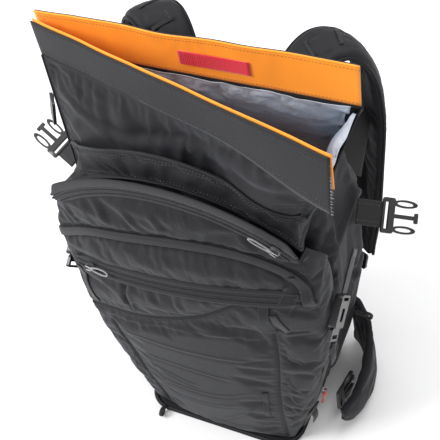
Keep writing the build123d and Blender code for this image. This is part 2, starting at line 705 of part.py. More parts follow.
with BuildPart() as hip_wing_right:
    with BuildSketch():
        with BuildLine():
            ThreePointArc(HIP_ROOT, HIP_SIDE, HIP_TIP)
            offset(amount=HIP_THICK, side=Side.RIGHT)
        make_face()
    extrude(amount=140)
    # Side view of the wing: tall at the back, with a low round nose in front.
    with BuildSketch(Plane.YZ):
        with BuildLine():
            Polyline(HIP_FRONT_LOW, (HIP_BACK_Y, HIP_LOW_Z), HIP_BACK_TOP)
            Spline(HIP_BACK_TOP, HIP_CREST, HIP_WAIST, HIP_FRONT_TOP, tangents=((-1, 0), (-0.8, -0.6)))
            ThreePointArc(HIP_FRONT_TOP, HIP_NOSE, HIP_FRONT_LOW)
        make_face()
    extrude(amount=300, mode=Mode.INTERSECT)
hip_wing_left = mirror(hip_wing_right.part, about=Plane.YZ)

# The belt's buckle halves are tucked back on the inside of the wings.
HIP_TUCK = Plane(origin=(163, -56, 40), x_dir=(0.15, 0.99, 0), z_dir=(0.99, -0.15, 0))
hip_male = buckle_male(HIP_TUCK, WIDE_WEBBING)
hip_female = mirror(
    buckle_female(reversed_frame(HIP_TUCK, HOUSING_END), WIDE_WEBBING), about=Plane.YZ
)


# ---------------------------------------------------------------- tool loops
LOOP_HOLE_R = 4.5
LOOP_OUTER_R = 7.5
LOOP_THICK = 4


def tool_loop(frame, tail):
    """Moulded ring with a round hole, its axis along z of frame, on a tail that runs back along -x."""
    with BuildPart() as ring:
        with BuildSketch(frame):
            Circle(LOOP_OUTER_R)
            with Locations((-tail / 2 - LOOP_OUTER_R + 2, 0)):
                Rectangle(tail, 7)
            Circle(LOOP_HOLE_R, mode=Mode.SUBTRACT)
        extrude(amount=LOOP_THICK / 2, both=True)
    return ring.part


tool_loop_right = tool_loop(Plane(origin=(180, 40, 140), x_dir=(1, 0, 0), z_dir=(0, -1, 0)), 14)
tool_loop_left = tool_loop(Plane(origin=(-92, -143, 8), x_dir=(0, -1, 0), z_dir=(1, 0, 0)), 5)
tool_loops = Compound([tool_loop_right, tool_loop_left])


# ---------------------------------------------------------------- airbag system inside the bag
CARTRIDGE_X, CARTRIDGE_Y = -82, 36
CARTRIDGE_R = 22
CARTRIDGE_FOOT_Z = 60
NECK_R = 8.0
NECK_TOP_Z = 300
UNIT_LOW_Z = 284
UNIT_HIGH_Z = 336
PIN_R = 2.0
RUNNING_GAP = 0.05

SHOULDER_LOW_Z = 254  # the cartridge narrows to its neck from here
SHOULDER_HIGH_Z = 276
FOOT_ROUND = 6
with BuildPart() as gas_cartridge:
    with BuildSketch(Plane.XZ.offset(-CARTRIDGE_Y)) as cartridge_half:
        with BuildLine():
            foot = Line(
                (CARTRIDGE_X, CARTRIDGE_FOOT_Z),
                (CARTRIDGE_X + CARTRIDGE_R - FOOT_ROUND, CARTRIDGE_FOOT_Z),
            )
            TangentArc(foot @ 1, (CARTRIDGE_X + CARTRIDGE_R, CARTRIDGE_FOOT_Z + FOOT_ROUND), tangent=(1, 0))
            Polyline(
                (CARTRIDGE_X + CARTRIDGE_R, CARTRIDGE_FOOT_Z + FOOT_ROUND),
                (CARTRIDGE_X + CARTRIDGE_R, SHOULDER_LOW_Z),
                (CARTRIDGE_X + NECK_R, SHOULDER_HIGH_Z),
                (CARTRIDGE_X + NECK_R, NECK_TOP_Z),
                (CARTRIDGE_X, NECK_TOP_Z),
                foot @ 0,
            )
        make_face()
    revolve(axis=Axis((CARTRIDGE_X, CARTRIDGE_Y, 0), (0, 0, 1)))

with BuildPart() as inflation_unit:
    with BuildSketch(Plane.XY.offset(UNIT_LOW_Z)):
        with Locations((CARTRIDGE_X, CARTRIDGE_Y)):
            RectangleRounded(50, 42, 8)
    extrude(amount=UNIT_HIGH_Z - UNIT_LOW_Z)
    with BuildSketch(Plane.XY.offset(UNIT_LOW_Z)):
        with Locations((CARTRIDGE_X, CARTRIDGE_Y)):
            Circle(NECK_R + RUNNING_GAP)
    extrude(amount=NECK_TOP_Z + 1 - UNIT_LOW_Z, mode=Mode.SUBTRACT)
    with BuildSketch(Plane.XY.offset(UNIT_LOW_Z)):
        with Locations((CARTRIDGE_X, CARTRIDGE_Y)):
            Circle(PIN_R + RUNNING_GAP)
    extrude(amount=UNIT_HIGH_Z - UNIT_LOW_Z, mode=Mode.SUBTRACT)
    # Slot through which the venturi draws air.
    with BuildSketch(Plane.XY.offset(UNIT_LOW_Z + 26)):
        with Locations((CARTRIDGE_X + 15, CARTRIDGE_Y)):
            Rectangle(8, 30)
    extrude(amount=18, mode=Mode.SUBTRACT)

PIN_TIP_Z = 309
PIN_STROKE = 6
PIN_HEAD_R = 4.5
PIN_HEAD_Z = UNIT_HIGH_Z + PIN_STROKE + 1
with BuildPart() as piercing_pin:
    with BuildSketch(Plane.XY.offset(PIN_TIP_Z)):
        with Locations((CARTRIDGE_X, CARTRIDGE_Y)):
            Circle(PIN_R)
    extrude(amount=PIN_HEAD_Z - PIN_TIP_Z)
    with BuildSketch(Plane.XY.offset(PIN_HEAD_Z)):
        with Locations((CARTRIDGE_X, CARTRIDGE_Y)):
            Circle(PIN_HEAD_R)
    extrude(amount=2)

AIRBAG_LOW_Z = 352
AIRBAG_HEIGHT = 92
with BuildPart() as airbag_balloon:
    with BuildSketch(Plane.XY.offset(AIRBAG_LOW_Z)):
        with Locations((10, 43)):
            RectangleRounded(240, 38, 12)
    extrude(amount=AIRBAG_HEIGHT)
    fillet(airbag_balloon.faces().sort_by(Axis.Z)[-1].edges(), 8)
    # Groove down its back that the trigger cable runs in.
    with BuildSketch(Plane.XY.offset(AIRBAG_LOW_Z)):
        with Locations((PORT_X, 56)):
            Rectangle(18, 22)
    extrude(amount=AIRBAG_HEIGHT, mode=Mode.SUBTRACT)

CABLE_R = 2.2
CABLE_Y = 60
with BuildPart() as trigger_cable:
    with BuildLine() as cable_path:
        Spline(
            (CARTRIDGE_X - 16, CARTRIDGE_Y + 10, UNIT_HIGH_Z + 1),
            (PORT_X, CABLE_Y, UNIT_HIGH_Z + 26),
            (PORT_X, CABLE_Y, PORT_Z - 18),
            (PORT_X, BAG_BACK_Y + 5, PORT_Z),
            tangents=((0, 0, 1), (0, 1, 0)),
        )
    with BuildSketch(Plane(cable_path.line @ 0, z_dir=cable_path.line % 0)):
        Circle(CABLE_R)
    sweep()

# ---------------------------------------------------------------- trigger handle on the left strap
# The handle lies on the pad's outer face; this frame is on the right pad and the handle is mirrored.
TRIGGER = Plane(origin=(151, 147, 345), x_dir=(-0.04, -0.06, -1), z_dir=(0.6, 0.8, -0.08))

with BuildPart() as trigger_on_right:
    with BuildSketch(TRIGGER.offset(STRAP_THICK / 2 + 3)):
        RectangleRounded(14, 46, 6)
        with Locations((-22, 0)):
            RectangleRounded(36, 14, 4)
    extrude(amount=10)
    fillet(trigger_on_right.faces().sort_by(Axis.Y)[-1].edges(), 2.5)
trigger_handle = mirror(trigger_on_right.part, about=Plane.YZ)

# ---------------------------------------------------------------- write every piece
PIECES = {
    "main_bag": main_bag.part,
    "bag_lining": bag_lining.part,
    "base_panel": base_panel.part,
    "lower_pocket": lower_pocket.part,
    "upper_pocket": upper_pocket.part,
    "goggle_zip": goggle_zip.part,
    "front_zip": front_zip.part,
    "tool_zip": tool_zip.part,
    "goggle_slider": goggle_slider,
    "goggle_pull": goggle_pull,
    "front_slider": front_slider,
    "front_pull": front_pull,
    "tool_slider": tool_slider,
    "tool_pull_cords": tool_pull.part,
    "top_band": top_band.part,
    "collar_front": collar_front.part,
    "collar_back": collar_back,
    "gusset_left": gusset_left,
    "gusset_right": gusset_right,
    "front_rim_band": front_rim_band,
    "front_rim_stiffener": front_rim_stiffener,
    "front_rim_facing": front_rim_facing,
    "back_rim_band": back_rim_band,
    "back_rim_facing": back_rim_facing,
    "hook_patch": hook_patch,
    "frame_sheet": frame_sheet.part,
    "frame_stays": frame_stays.part,
    "back_pad": back_pad.part,
    "shoulder_yoke": shoulder_yoke.part,
    "shoulder_pad_left": shoulder_pad_left,
    "shoulder_pad_right": shoulder_pad_right.part,
    "shoulder_lock_left": shoulder_lock_left,
    "shoulder_lock_right": shoulder_lock_right,
    "lower_webbing": Compound([lower_web_left, lower_web_right]),
    "haul_loop": haul_loop.part,
    "sternum_half_left": sternum_half_left,
    "sternum_half_right": sternum_half_right.part,
    "sternum_male": sternum_male,
    "sternum_female": sternum_female,
    "compression_male_left": compression_male_left,
    "compression_male_right": compression_male_right,
    "compression_housings": compression_housings,
    "compression_straps": compression_straps,
    "closure_strap_left": closure_strap_left,
    "closure_male_left": closure_male_left,
    "closure_ladder": closure_ladder,
    "closure_strap_right": closure_strap_right,
    "closure_male_right": closure_male_right,
    "hip_wing_left": hip_wing_left,
    "hip_wing_right": hip_wing_right.part,
    "hip_male": hip_male,
    "hip_female": hip_female,
    "tool_loops": tool_loops,
    "airbag_balloon": airbag_balloon.part,
    "inflation_unit": inflation_unit.part,
    "gas_cartridge": gas_cartridge.part,
    "piercing_pin": piercing_pin.part,
    "trigger_cable": trigger_cable.part,
    "trigger_handle": trigger_handle,
}

for piece_name, piece in PIECES.items():
    save(piece, piece_name)
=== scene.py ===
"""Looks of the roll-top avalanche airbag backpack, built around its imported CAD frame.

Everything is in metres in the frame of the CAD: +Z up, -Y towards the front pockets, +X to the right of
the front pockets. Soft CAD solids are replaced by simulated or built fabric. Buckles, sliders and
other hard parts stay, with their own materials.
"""

import json
import math

import bmesh
import bpy
import numpy as np
from mathutils import Matrix, Vector, noise
from mathutils.bvhtree import BVHTree
from mathutils.kdtree import KDTree


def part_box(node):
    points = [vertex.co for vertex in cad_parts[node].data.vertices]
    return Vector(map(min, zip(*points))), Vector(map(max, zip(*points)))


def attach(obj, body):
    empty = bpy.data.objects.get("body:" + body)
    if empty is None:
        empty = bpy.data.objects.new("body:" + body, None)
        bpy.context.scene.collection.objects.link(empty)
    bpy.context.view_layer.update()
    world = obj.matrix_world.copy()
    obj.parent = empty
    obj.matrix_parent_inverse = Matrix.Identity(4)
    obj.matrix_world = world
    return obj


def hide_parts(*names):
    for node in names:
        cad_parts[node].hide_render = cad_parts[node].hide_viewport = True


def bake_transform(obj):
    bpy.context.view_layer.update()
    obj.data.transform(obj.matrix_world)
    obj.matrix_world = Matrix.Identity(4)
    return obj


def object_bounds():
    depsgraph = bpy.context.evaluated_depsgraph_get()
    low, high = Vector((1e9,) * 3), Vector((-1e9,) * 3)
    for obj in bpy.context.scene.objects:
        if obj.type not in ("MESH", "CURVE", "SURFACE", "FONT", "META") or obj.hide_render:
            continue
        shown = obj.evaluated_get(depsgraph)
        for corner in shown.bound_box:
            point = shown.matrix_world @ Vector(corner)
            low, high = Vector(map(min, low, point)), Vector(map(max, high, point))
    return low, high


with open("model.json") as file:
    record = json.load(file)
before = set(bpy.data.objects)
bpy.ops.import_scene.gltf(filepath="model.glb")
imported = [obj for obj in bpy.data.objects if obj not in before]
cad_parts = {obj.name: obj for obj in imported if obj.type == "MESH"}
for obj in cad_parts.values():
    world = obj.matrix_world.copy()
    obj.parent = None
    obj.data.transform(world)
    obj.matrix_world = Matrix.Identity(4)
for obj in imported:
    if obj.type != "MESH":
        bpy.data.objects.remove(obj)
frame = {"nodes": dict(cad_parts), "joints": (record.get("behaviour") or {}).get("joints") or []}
cad_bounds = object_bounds()
scene = bpy.context.scene
joints = {joint["name"]: joint for joint in frame["joints"]}
nodes = frame["nodes"]

noise.seed_set(1)  # otherwise noise_vector's offsets come from the clock, and differ each run

MM = 0.001
SIM_FRAMES = 20
SHARP = math.radians(40)  # edges sharper than this are rounded
WELD_GAP = 0.02 * MM
BACK_OFF = 0.15  # how far outside a surface the rays that find it start
BESIDE_PACK = 0.3  # sideways distance that is clear of the whole pack
SHELL_THICK, POCKET_THICK, COLLAR_THICK, LINING_THICK = 1.6 * MM, 1.4 * MM, 0.9 * MM, 0.5 * MM
WEB_THICK = 1.8 * MM
PANEL_CORNER = 36 * MM  # corner radius of the base and the back pad


def mm(*values):
    """A point or size given in millimetres, in metres."""
    return np.array(values, float) * MM


# ---------------------------------------------------------------- vectors and paths
def unit(v):
    """v, or each row of v, at length one."""
    v = np.asarray(v, float)
    return v / np.maximum(np.linalg.norm(v, axis=-1, keepdims=True), 1e-12)


def smoothstep(x):
    x = np.clip(x, 0.0, 1.0)
    return x * x * (3 - 2 * x)


def spline(points, spacing=3 * MM, closed=False):
    """A smooth path through the points, with a point about every spacing."""
    p = np.asarray(points, float)
    if closed:
        p = np.vstack([p[-1:], p, p[:2]])
    else:
        p = np.vstack([2 * p[:1] - p[1:2], p, 2 * p[-1:] - p[-2:-1]])
    out = []
    for k in range(1, len(p) - 2):
        steps = max(2, int(np.linalg.norm(p[k + 1] - p[k]) / spacing * 2))
        t = np.linspace(0, 1, steps, endpoint=False)[:, None]
        out.append(
            0.5 * (2 * p[k] + (p[k + 1] - p[k - 1]) * t
                   + (2 * p[k - 1] - 5 * p[k] + 4 * p[k + 1] - p[k + 2]) * t**2
                   + (3 * p[k] - p[k - 1] - 3 * p[k + 1] + p[k + 2]) * t**3)
        )
    path = np.vstack(out + [p[-2:-1]])
    return resample(path, spacing)


def length_of(path):
    return np.linalg.norm(np.diff(path, axis=0), axis=1).sum()


def resample(path, spacing):
    """The path with evenly spaced points."""
    path = np.asarray(path, float)
    along = np.concatenate([[0], np.cumsum(np.linalg.norm(np.diff(path, axis=0), axis=1))])
    count = max(2, int(round(along[-1] / spacing)) + 1)
    at = np.linspace(0, along[-1], count)
    return np.stack([np.interp(at, along, path[:, k]) for k in range(path.shape[1])], axis=1)


def tangents(path):
    return unit(np.gradient(np.asarray(path, float), axis=0))


def at_height(points, z):
    """Plan points raised to height z."""
    points = np.asarray(points, float)
    return np.column_stack([points, np.full(len(points), z)])


def round_ring(width, depth, radius, steps=10):
    """Closed loop of plan points round a rectangle with round corners, with its middle at the origin."""
    ring = []
    for turn, (sx, sy) in enumerate(((1, 1), (-1, 1), (-1, -1), (1, -1))):
        a = np.linspace(0, math.pi / 2, steps) + turn * math.pi / 2
        ring.append(np.stack([sx * (width / 2 - radius) + radius * np.cos(a),
                              sy * (depth / 2 - radius) + radius * np.sin(a)], axis=1))
    return np.vstack([*ring, ring[0][:1]])


# ---------------------------------------------------------------- meshes
def linked(name, data):
    """A new object of the mesh, light or camera data, in the scene."""
    obj = bpy.data.objects.new(name, data)
    scene.collection.objects.link(obj)
    return obj


def make_object(name, points, faces, smooth=True):
    """A new mesh object in the row frame."""
    mesh = bpy.data.meshes.new(name)
    mesh.from_pydata([tuple(p) for p in points], [], [tuple(int(i) for i in f) for f in faces])
    mesh.validate()
    mesh.update()
    mesh.polygons.foreach_set("use_smooth", [smooth] * len(mesh.polygons))
    return linked(name, mesh)


def coords(mesh):
    out = np.empty(len(mesh.vertices) * 3, np.float32)
    mesh.vertices.foreach_get("co", out)
    return out.reshape(-1, 3).astype(float)


def set_coords(mesh, points):
    mesh.vertices.foreach_set("co", np.asarray(points, np.float32).ravel())
    mesh.update()


def vertex_normals(mesh):
    out = np.empty(len(mesh.vertices) * 3, np.float32)
    mesh.vertex_normals.foreach_get("vector", out)
    return out.reshape(-1, 3).astype(float)


def bake(obj):
    """Applies every modifier of obj to its mesh."""
    graph = bpy.context.evaluated_depsgraph_get()
    mesh = bpy.data.meshes.new_from_object(obj.evaluated_get(graph))
    obj.modifiers.clear()
    obj.data = mesh
    mesh.polygons.foreach_set("use_smooth", [True] * len(mesh.polygons))
    return obj


def joined(name, objects):
    """One object from several, with their materials."""
    for obj in objects:
        bake(obj)
    bm = bmesh.new()
    slots = []
    for obj in objects:
        start = len(bm.faces)
        bm.from_mesh(obj.data)
        bm.faces.ensure_lookup_table()
        offset = []
        for material in obj.data.materials:
            if material not in slots:
                slots.append(material)
            offset.append(slots.index(material))
        for face in bm.faces[start:]:
            if offset:
                face.material_index = offset[min(face.material_index, len(offset) - 1)]
        bpy.data.objects.remove(obj)
    mesh = bpy.data.meshes.new(name)
    bm.to_mesh(mesh)
    bm.free()
    for material in slots:
        mesh.materials.append(material)
    return linked(name, mesh)


def mirrored(obj, name):
    """A copy of obj on the other side of the pack."""
    mesh = obj.data.copy()
    set_coords(mesh, coords(mesh) * (-1, 1, 1))
    mesh.flip_normals()
    return linked(name, mesh)


def grid_faces(rows, columns, offset=0, closed_rows=False, closed_columns=False, flip=False):
    """Quads over a grid of rows x columns points."""
    faces = []
    for i in range(rows if closed_rows else rows - 1):
        for j in range(columns if closed_columns else columns - 1):
            a = offset + i * columns + j
            b = offset + (i + 1) % rows * columns + j
            c = offset + (i + 1) % rows * columns + (j + 1) % columns
            d = offset + i * columns + (j + 1) % columns
            faces.append((a, d, c, b) if flip else (a, b, c, d))
    return faces


def grid_normals(grid, closed_columns=False):
    """Normal of each point of a grid."""
    down = np.gradient(grid, axis=0)
    if closed_columns:
        across = np.roll(grid, -1, axis=1) - np.roll(grid, 1, axis=1)
    else:
        across = np.gradient(grid, axis=1)
    return unit(np.cross(down, across))


def grid_object(grid, closed_columns=False):
    """A draft object of one layer of faces over a grid."""
    faces = grid_faces(*grid.shape[:2], closed_columns=closed_columns)
    return make_object("draft", grid.reshape(-1, 3), faces)


def facing_out(obj):
    """obj with its faces turned outwards."""
    bm = bmesh.new()
    bm.from_mesh(obj.data)
    bmesh.ops.recalc_face_normals(bm, faces=bm.faces)
    bm.to_mesh(obj.data)
    bm.free()
    return obj


def sheet(name, grid, thickness, closed_columns=False):
    """Closed skin of fabric: the grid is its outer side, and its other side lies thickness behind it."""
    grid = np.asarray(grid, float)
    rows, columns = grid.shape[:2]
    normal = grid_normals(grid, closed_columns)
    count = rows * columns
    points = np.vstack([grid.reshape(-1, 3), (grid - normal * thickness).reshape(-1, 3)])
    faces = grid_faces(rows, columns, 0, closed_columns=closed_columns)
    faces += grid_faces(rows, columns, count, closed_columns=closed_columns, flip=True)
    last = (rows - 1) * columns
    for j in range(columns if closed_columns else columns - 1):
        k = (j + 1) % columns
        faces.append((j, k, count + k, count + j))
        faces.append((last + j, count + last + j, count + last + k, last + k))
    if not closed_columns:
        for i in range(rows - 1):
            a, b = i * columns, (i + 1) * columns
            faces.append((a, count + a, count + b, b))
            a, b = a + columns - 1, b + columns - 1
            faces.append((a, b, count + b, count + a))
    return facing_out(make_object(name, points, faces))


def sweep(name, path, outline, up, closed=False):
    """Sweeps a closed outline of (side, up) offsets along a path whose upward direction is up."""
    path = np.asarray(path, float)
    along = tangents(path)
    if closed:
        along = unit(np.roll(path, -1, axis=0) - np.roll(path, 1, axis=0))
    up = np.broadcast_to(np.asarray(up, float), path.shape)
    side = unit(np.cross(along, up))
    rise = np.cross(side, along)
    outline = np.asarray(outline, float)
    if outline.ndim == 2:
        outline = np.broadcast_to(outline, (len(path), *outline.shape))
    grid = path[:, None] + side[:, None] * outline[..., :1] + rise[:, None] * outline[..., 1:]
    rows, columns = grid.shape[:2]
    faces = grid_faces(rows, columns, closed_rows=closed, closed_columns=True)
    if not closed:
        faces.append(tuple(range(columns)))
        faces.append(tuple(range((rows - 1) * columns, rows * columns))[::-1])
    return facing_out(make_object(name, grid.reshape(-1, 3), faces))


def circle(radius, sides=10):
    a = np.linspace(0, 2 * math.pi, sides, endpoint=False)
    return np.stack([np.cos(a) * radius, np.sin(a) * radius], axis=1)


def slab(width, thickness, crown=0.0, steps=6):
    """Outline of webbing: width x thickness with round edges, its middle raised by crown."""
    s = np.linspace(-1, 1, steps * 2 + 1)
    flat = width / 2 - thickness / 2
    top = np.stack([s * flat, thickness / 2 + crown * (1 - s**2)], axis=1)
    bottom = np.stack([-s * flat, -thickness / 2 + crown * (1 - s**2)], axis=1)
    return np.vstack([top, [[width / 2, 0]], bottom, [[-width / 2, 0]]])


def any_up(path):
    """An upward direction for a round cord, turned as little as possible along its path."""
    along = tangents(path)
    up = np.zeros_like(along)
    seed = np.array([0.0, 0.0, 1.0]) if abs(along[0][2]) < 0.9 else np.array([1.0, 0.0, 0.0])
    for k, direction in enumerate(along):
        seed = unit(seed - direction * np.dot(seed, direction))
        up[k] = seed
    return up


def cord(name, path, radius, sides=10, closed=False):
    return sweep(name, path, circle(radius, sides), any_up(path), closed)


def stitches(path, normals, pitch=4 * MM, length=2.8 * MM, radius=0.42 * MM):
    """A row of thread stitches lying on a path."""
    path = np.asarray(path, float)
    normals = np.broadcast_to(np.asarray(normals, float), path.shape)
    both = resample(np.hstack([path, normals * 1e-9]), pitch)
    points, up = both[:, :3], unit(both[:, 3:])
    along = tangents(points)
    side = unit(np.cross(along, up))
    verts, faces = [], []
    for p, a, s, n in zip(points[:-1], along[:-1], side[:-1], up[:-1]):
        base = len(verts)
        verts += [p - a * length / 2, p + a * length / 2,
                  p + s * radius, p + n * radius, p - s * radius, p - n * radius]
        for k in range(4):
            b, c = base + 2 + k, base + 2 + (k + 1) % 4
            faces += [(base, c, b), (base + 1, b, c)]
    return painted(make_object("stitches", verts, faces), THREAD)


# ---------------------------------------------------------------- the CAD as a starting shape
def cad_form(name, node):
    """A welded copy of a CAD node's mesh, as a new object."""
    bm = bmesh.new()
    bm.from_mesh(nodes[node].data)
    bmesh.ops.remove_doubles(bm, verts=bm.verts, dist=WELD_GAP)
    mesh = bpy.data.meshes.new(name)
    bm.to_mesh(mesh)
    bm.free()
    return linked(name, mesh)


def remesh(obj, voxel):
    """Even quads over the closed form obj."""
    modifier = obj.modifiers.new("remesh", "REMESH")
    modifier.mode = "VOXEL"
    modifier.voxel_size = voxel
    return bake(obj)


def relax(obj, times, strength=0.5, keep=None):
    """Smooths the mesh. keep is how much of each point's place is kept, from 0 to 1."""
    points = coords(obj.data)
    edges = np.empty(len(obj.data.edges) * 2, np.int32)
    obj.data.edges.foreach_get("vertices", edges)
    a, b = edges.reshape(-1, 2).T
    degree = np.bincount(a, minlength=len(points)) + np.bincount(b, minlength=len(points))
    free = strength if keep is None else (strength * (1 - keep))[:, None]
    for _ in range(times):
        total = np.zeros_like(points)
        for k in range(3):
            total[:, k] = (np.bincount(a, points[b, k], len(points))
                           + np.bincount(b, points[a, k], len(points)))
        points += (total / degree[:, None] - points) * free
    set_coords(obj.data, points)


def simulate(obj, pressure, cap, slack=0.0, pins=None):
    """Lets obj billow and crease as cloth, and keeps the result. No point moves further than cap.

    slack is how much longer the fabric is than the form, and pins says how firmly each point is sewn down.
    """
    rest = coords(obj.data)
    modifier = obj.modifiers.new("fabric", "CLOTH")
    settings = modifier.settings
    settings.quality = 5
    settings.mass = 0.3
    settings.tension_stiffness = 15
    settings.compression_stiffness = 15
    settings.shear_stiffness = 5
    settings.bending_stiffness = 0.5
    settings.use_pressure = True
    settings.uniform_pressure_force = pressure
    settings.shrink_min = -slack
    settings.shrink_max = -slack
    settings.effector_weights.gravity = 0
    modifier.collision_settings.use_collision = False
    modifier.collision_settings.use_self_collision = False
    if pins is not None:
        group = obj.vertex_groups.new(name="sewn")
        for index, weight in enumerate(pins):
            if weight > 0.01:
                group.add([index], float(weight), "REPLACE")
        settings.vertex_group_mass = "sewn"
    modifier.point_cache.frame_start = 1
    modifier.point_cache.frame_end = SIM_FRAMES
    for step in range(1, SIM_FRAMES + 1):
        scene.frame_set(step)
    graph = bpy.context.evaluated_depsgraph_get()
    moved = coords(obj.evaluated_get(graph).data) - rest
    obj.modifiers.clear()
    obj.vertex_groups.clear()
    far = np.linalg.norm(moved, axis=1, keepdims=True)
    set_coords(obj.data, rest + moved * np.minimum(1.0, cap / np.maximum(far, 1e-9)))
    scene.frame_set(1)
    return obj


def subdivide(obj, levels=1):
    modifier = obj.modifiers.new("smooth", "SUBSURF")
    modifier.levels = levels
    modifier.render_levels = levels
    return bake(obj)


# ---------------------------------------------------------------- shaping fabric
def nearest(points, path):
    """Distance from each point to the path, index of the nearest path point, and the offset from it."""
    tree = KDTree(len(path))
    for index, p in enumerate(path):
        tree.insert(Vector(p), index)
    tree.balance()
    found = [tree.find(Vector(p)) for p in points]
    index = np.array([f[1] for f in found])
    return np.array([f[2] for f in found]), index, points - path[index]


def crease_shading(obj):
    """The crease attribute at each point: painted highlight in the fabric materials above 0, painted shade
    below 0.
    """
    value = np.zeros(len(obj.data.vertices), np.float32)
    if "crease" in obj.data.attributes:
        obj.data.attributes["crease"].data.foreach_get("value", value)
    return value


def add_crease_shading(obj, amount):
    """Adds to the crease attribute, the painted highlight and shade of creases."""
    value = (crease_shading(obj) + amount).astype(np.float32)
    attribute = obj.data.attributes.get("crease") or obj.data.attributes.new("crease", "FLOAT", "POINT")
    attribute.data.foreach_set("value", value)


def crease(obj, path, depth, width, shade=None, facing=None, ends=20 * MM):
    """Presses a line into obj along path, or raises it with a negative depth. It fades over its ends."""
    points, normal = coords(obj.data), vertex_normals(obj.data)
    near = box_near(points, path, width * 3.5)
    if facing is not None:
        near &= normal @ np.asarray(facing, float) > 0.15
    picked = np.nonzero(near)[0]
    if len(picked) == 0:
        return
    distance, index, _ = nearest(points[picked], path)
    run = np.linalg.norm(np.diff(path, axis=0), axis=1)
    along = np.concatenate([[0], np.cumsum(run)])
    fade = np.ones(len(path)) if ends <= 0 else smoothstep(np.minimum(along, along[-1] - along) / ends)
    amount = np.exp(-((distance / width) ** 2)) * fade[index]
    points[picked] -= normal[picked] * (depth * amount)[:, None]
    set_coords(obj.data, points)
    # Painted shading into the crease attribute: by default painted shade along a pressed line and painted
    # highlight along a raised one; shade, if given, sets it instead.
    value = np.zeros(len(points))
    value[picked] = amount * (shade if shade is not None else -np.sign(depth) * 0.6)
    add_crease_shading(obj, value)


def box_near(points, path, reach):
    low, high = path.min(0) - reach, path.max(0) + reach
    return np.all((points > low) & (points < high), axis=1)


def skin_of(*objects):
    """Search tree over the objects' surfaces."""
    bm = bmesh.new()
    for obj in objects:
        bm.from_mesh(obj.data)
    tree = BVHTree.FromBMesh(bm)
    bm.free()
    return tree


def skinned(name, draft, shape, thickness):
    """A closed skin made from the creased draft of a grid, which goes."""
    crease_shade = crease_shading(draft)
    piece = sheet(name, coords(draft.data).reshape(*shape, 3), thickness)
    add_crease_shading(piece, np.concatenate([crease_shade, crease_shade]))
    bpy.data.objects.remove(draft)
    return piece


def lay(tree, points, direction, lift=0.0):
    """Points moved along direction onto the surface, raised by lift, with the surface's normals."""
    direction = Vector(direction).normalized()
    out, up = [], []
    for p in np.asarray(points, float):
        start = Vector(p) - direction * BACK_OFF
        hit, normal, _, _ = tree.ray_cast(start, direction)
        if hit is None:
            hit, normal, _, _ = tree.find_nearest(Vector(p))
        out.append(hit + normal * lift)
        up.append(normal)
    return np.array(out), smooth_path(unit(np.array(up)), 3)


def smooth_path(path, times):
    """A path with its kinks eased. Its ends stay."""
    path = np.array(path, float)
    for _ in range(times):
        path[1:-1] = path[1:-1] * 0.5 + (path[:-2] + path[2:]) * 0.25
    return path


def front_path(pairs, spacing=3 * MM, y=-130):
    """Smooth path through (x, z) pairs in millimetres, in front of the pack."""
    return spline([(x * MM, y * MM, z * MM) for x, z in pairs], spacing)


def wrinkle_noise(points, scale, seed):
    """Soft noise from -1 to 1 at each point, for the unevenness of fabric."""
    offset = Vector((seed * 7.3, seed * 3.1, seed * 5.7))
    return np.array([noise.noise(Vector(p) * scale + offset) for p in points])


# ---------------------------------------------------------------- materials
class Shader:
    """Short way to build a material's nodes."""

    def __init__(self, name):
        self.material = bpy.data.materials.new(name)
        self.material.use_nodes = True
        self.tree = self.material.node_tree
        self.main = self.tree.nodes["Principled BSDF"]
        self.place = self.node("ShaderNodeTexCoord").outputs["Object"]

    def node(self, kind, **values):
        made = self.tree.nodes.new(kind)
        for key, value in values.items():
            setattr(made, key, value)
        return made

    def link(self, source, target):
        self.tree.links.new(source, target)

    def put(self, socket, value):
        """Connects value to the socket if it's an output, and otherwise sets it."""
        if isinstance(value, bpy.types.NodeSocket):
            self.link(value, socket)
        else:
            socket.default_value = value

    def math(self, operation, a, b=0.0):
        made = self.node("ShaderNodeMath", operation=operation)
        self.put(made.inputs[0], a)
        self.put(made.inputs[1], b)
        return made.outputs[0]

    def noise(self, scale, detail=3.0, roughness=0.5, distortion=0.0):
        made = self.node("ShaderNodeTexNoise")
        self.link(self.place, made.inputs["Vector"])
        made.inputs["Scale"].default_value = scale
        made.inputs["Detail"].default_value = detail
        made.inputs["Roughness"].default_value = roughness
        made.inputs["Distortion"].default_value = distortion
        return made.outputs["Fac"]

    def bands(self, period, direction, distortion=0.0):
        """Threads across one axis, with the given period in metres."""
        made = self.node("ShaderNodeTexWave", wave_type="BANDS", bands_direction=direction)
        self.link(self.place, made.inputs["Vector"])
        made.inputs["Scale"].default_value = math.pi / 10 / period
        made.inputs["Distortion"].default_value = distortion
        return made.outputs["Fac"]

    def ramp(self, value, stops):
        made = self.node("ShaderNodeValToRGB")
        self.link(value, made.inputs["Fac"])
        elements = made.color_ramp.elements
        while len(elements) < len(stops):
            elements.new(0.5)
        for element, (position, colour) in zip(elements, stops):
            element.position = position
            element.color = (*colour, 1.0)
        return made.outputs["Color"]

    def mix(self, factor, a, b, blend="MIX"):
        made = self.node("ShaderNodeMix", data_type="RGBA", blend_type=blend)
        self.put(made.inputs["Factor"], factor)
        self.put(made.inputs["A"], a if isinstance(a, bpy.types.NodeSocket) else (*a, 1.0))
        self.put(made.inputs["B"], b if isinstance(b, bpy.types.NodeSocket) else (*b, 1.0))
        return made.outputs["Result"]

    def bump(self, height, strength, distance, normal=None):
        made = self.node("ShaderNodeBump")
        made.inputs["Strength"].default_value = strength
        made.inputs["Distance"].default_value = distance
        self.link(height, made.inputs["Height"])
        if normal is not None:
            self.link(normal, made.inputs["Normal"])
        return made.outputs["Normal"]

    def set(self, **values):
        for key, value in values.items():
            self.put(self.main.inputs[key.replace("_", " ")], value)


def scaled(colour, factor):
    return tuple(min(1.0, c * factor) for c in colour)


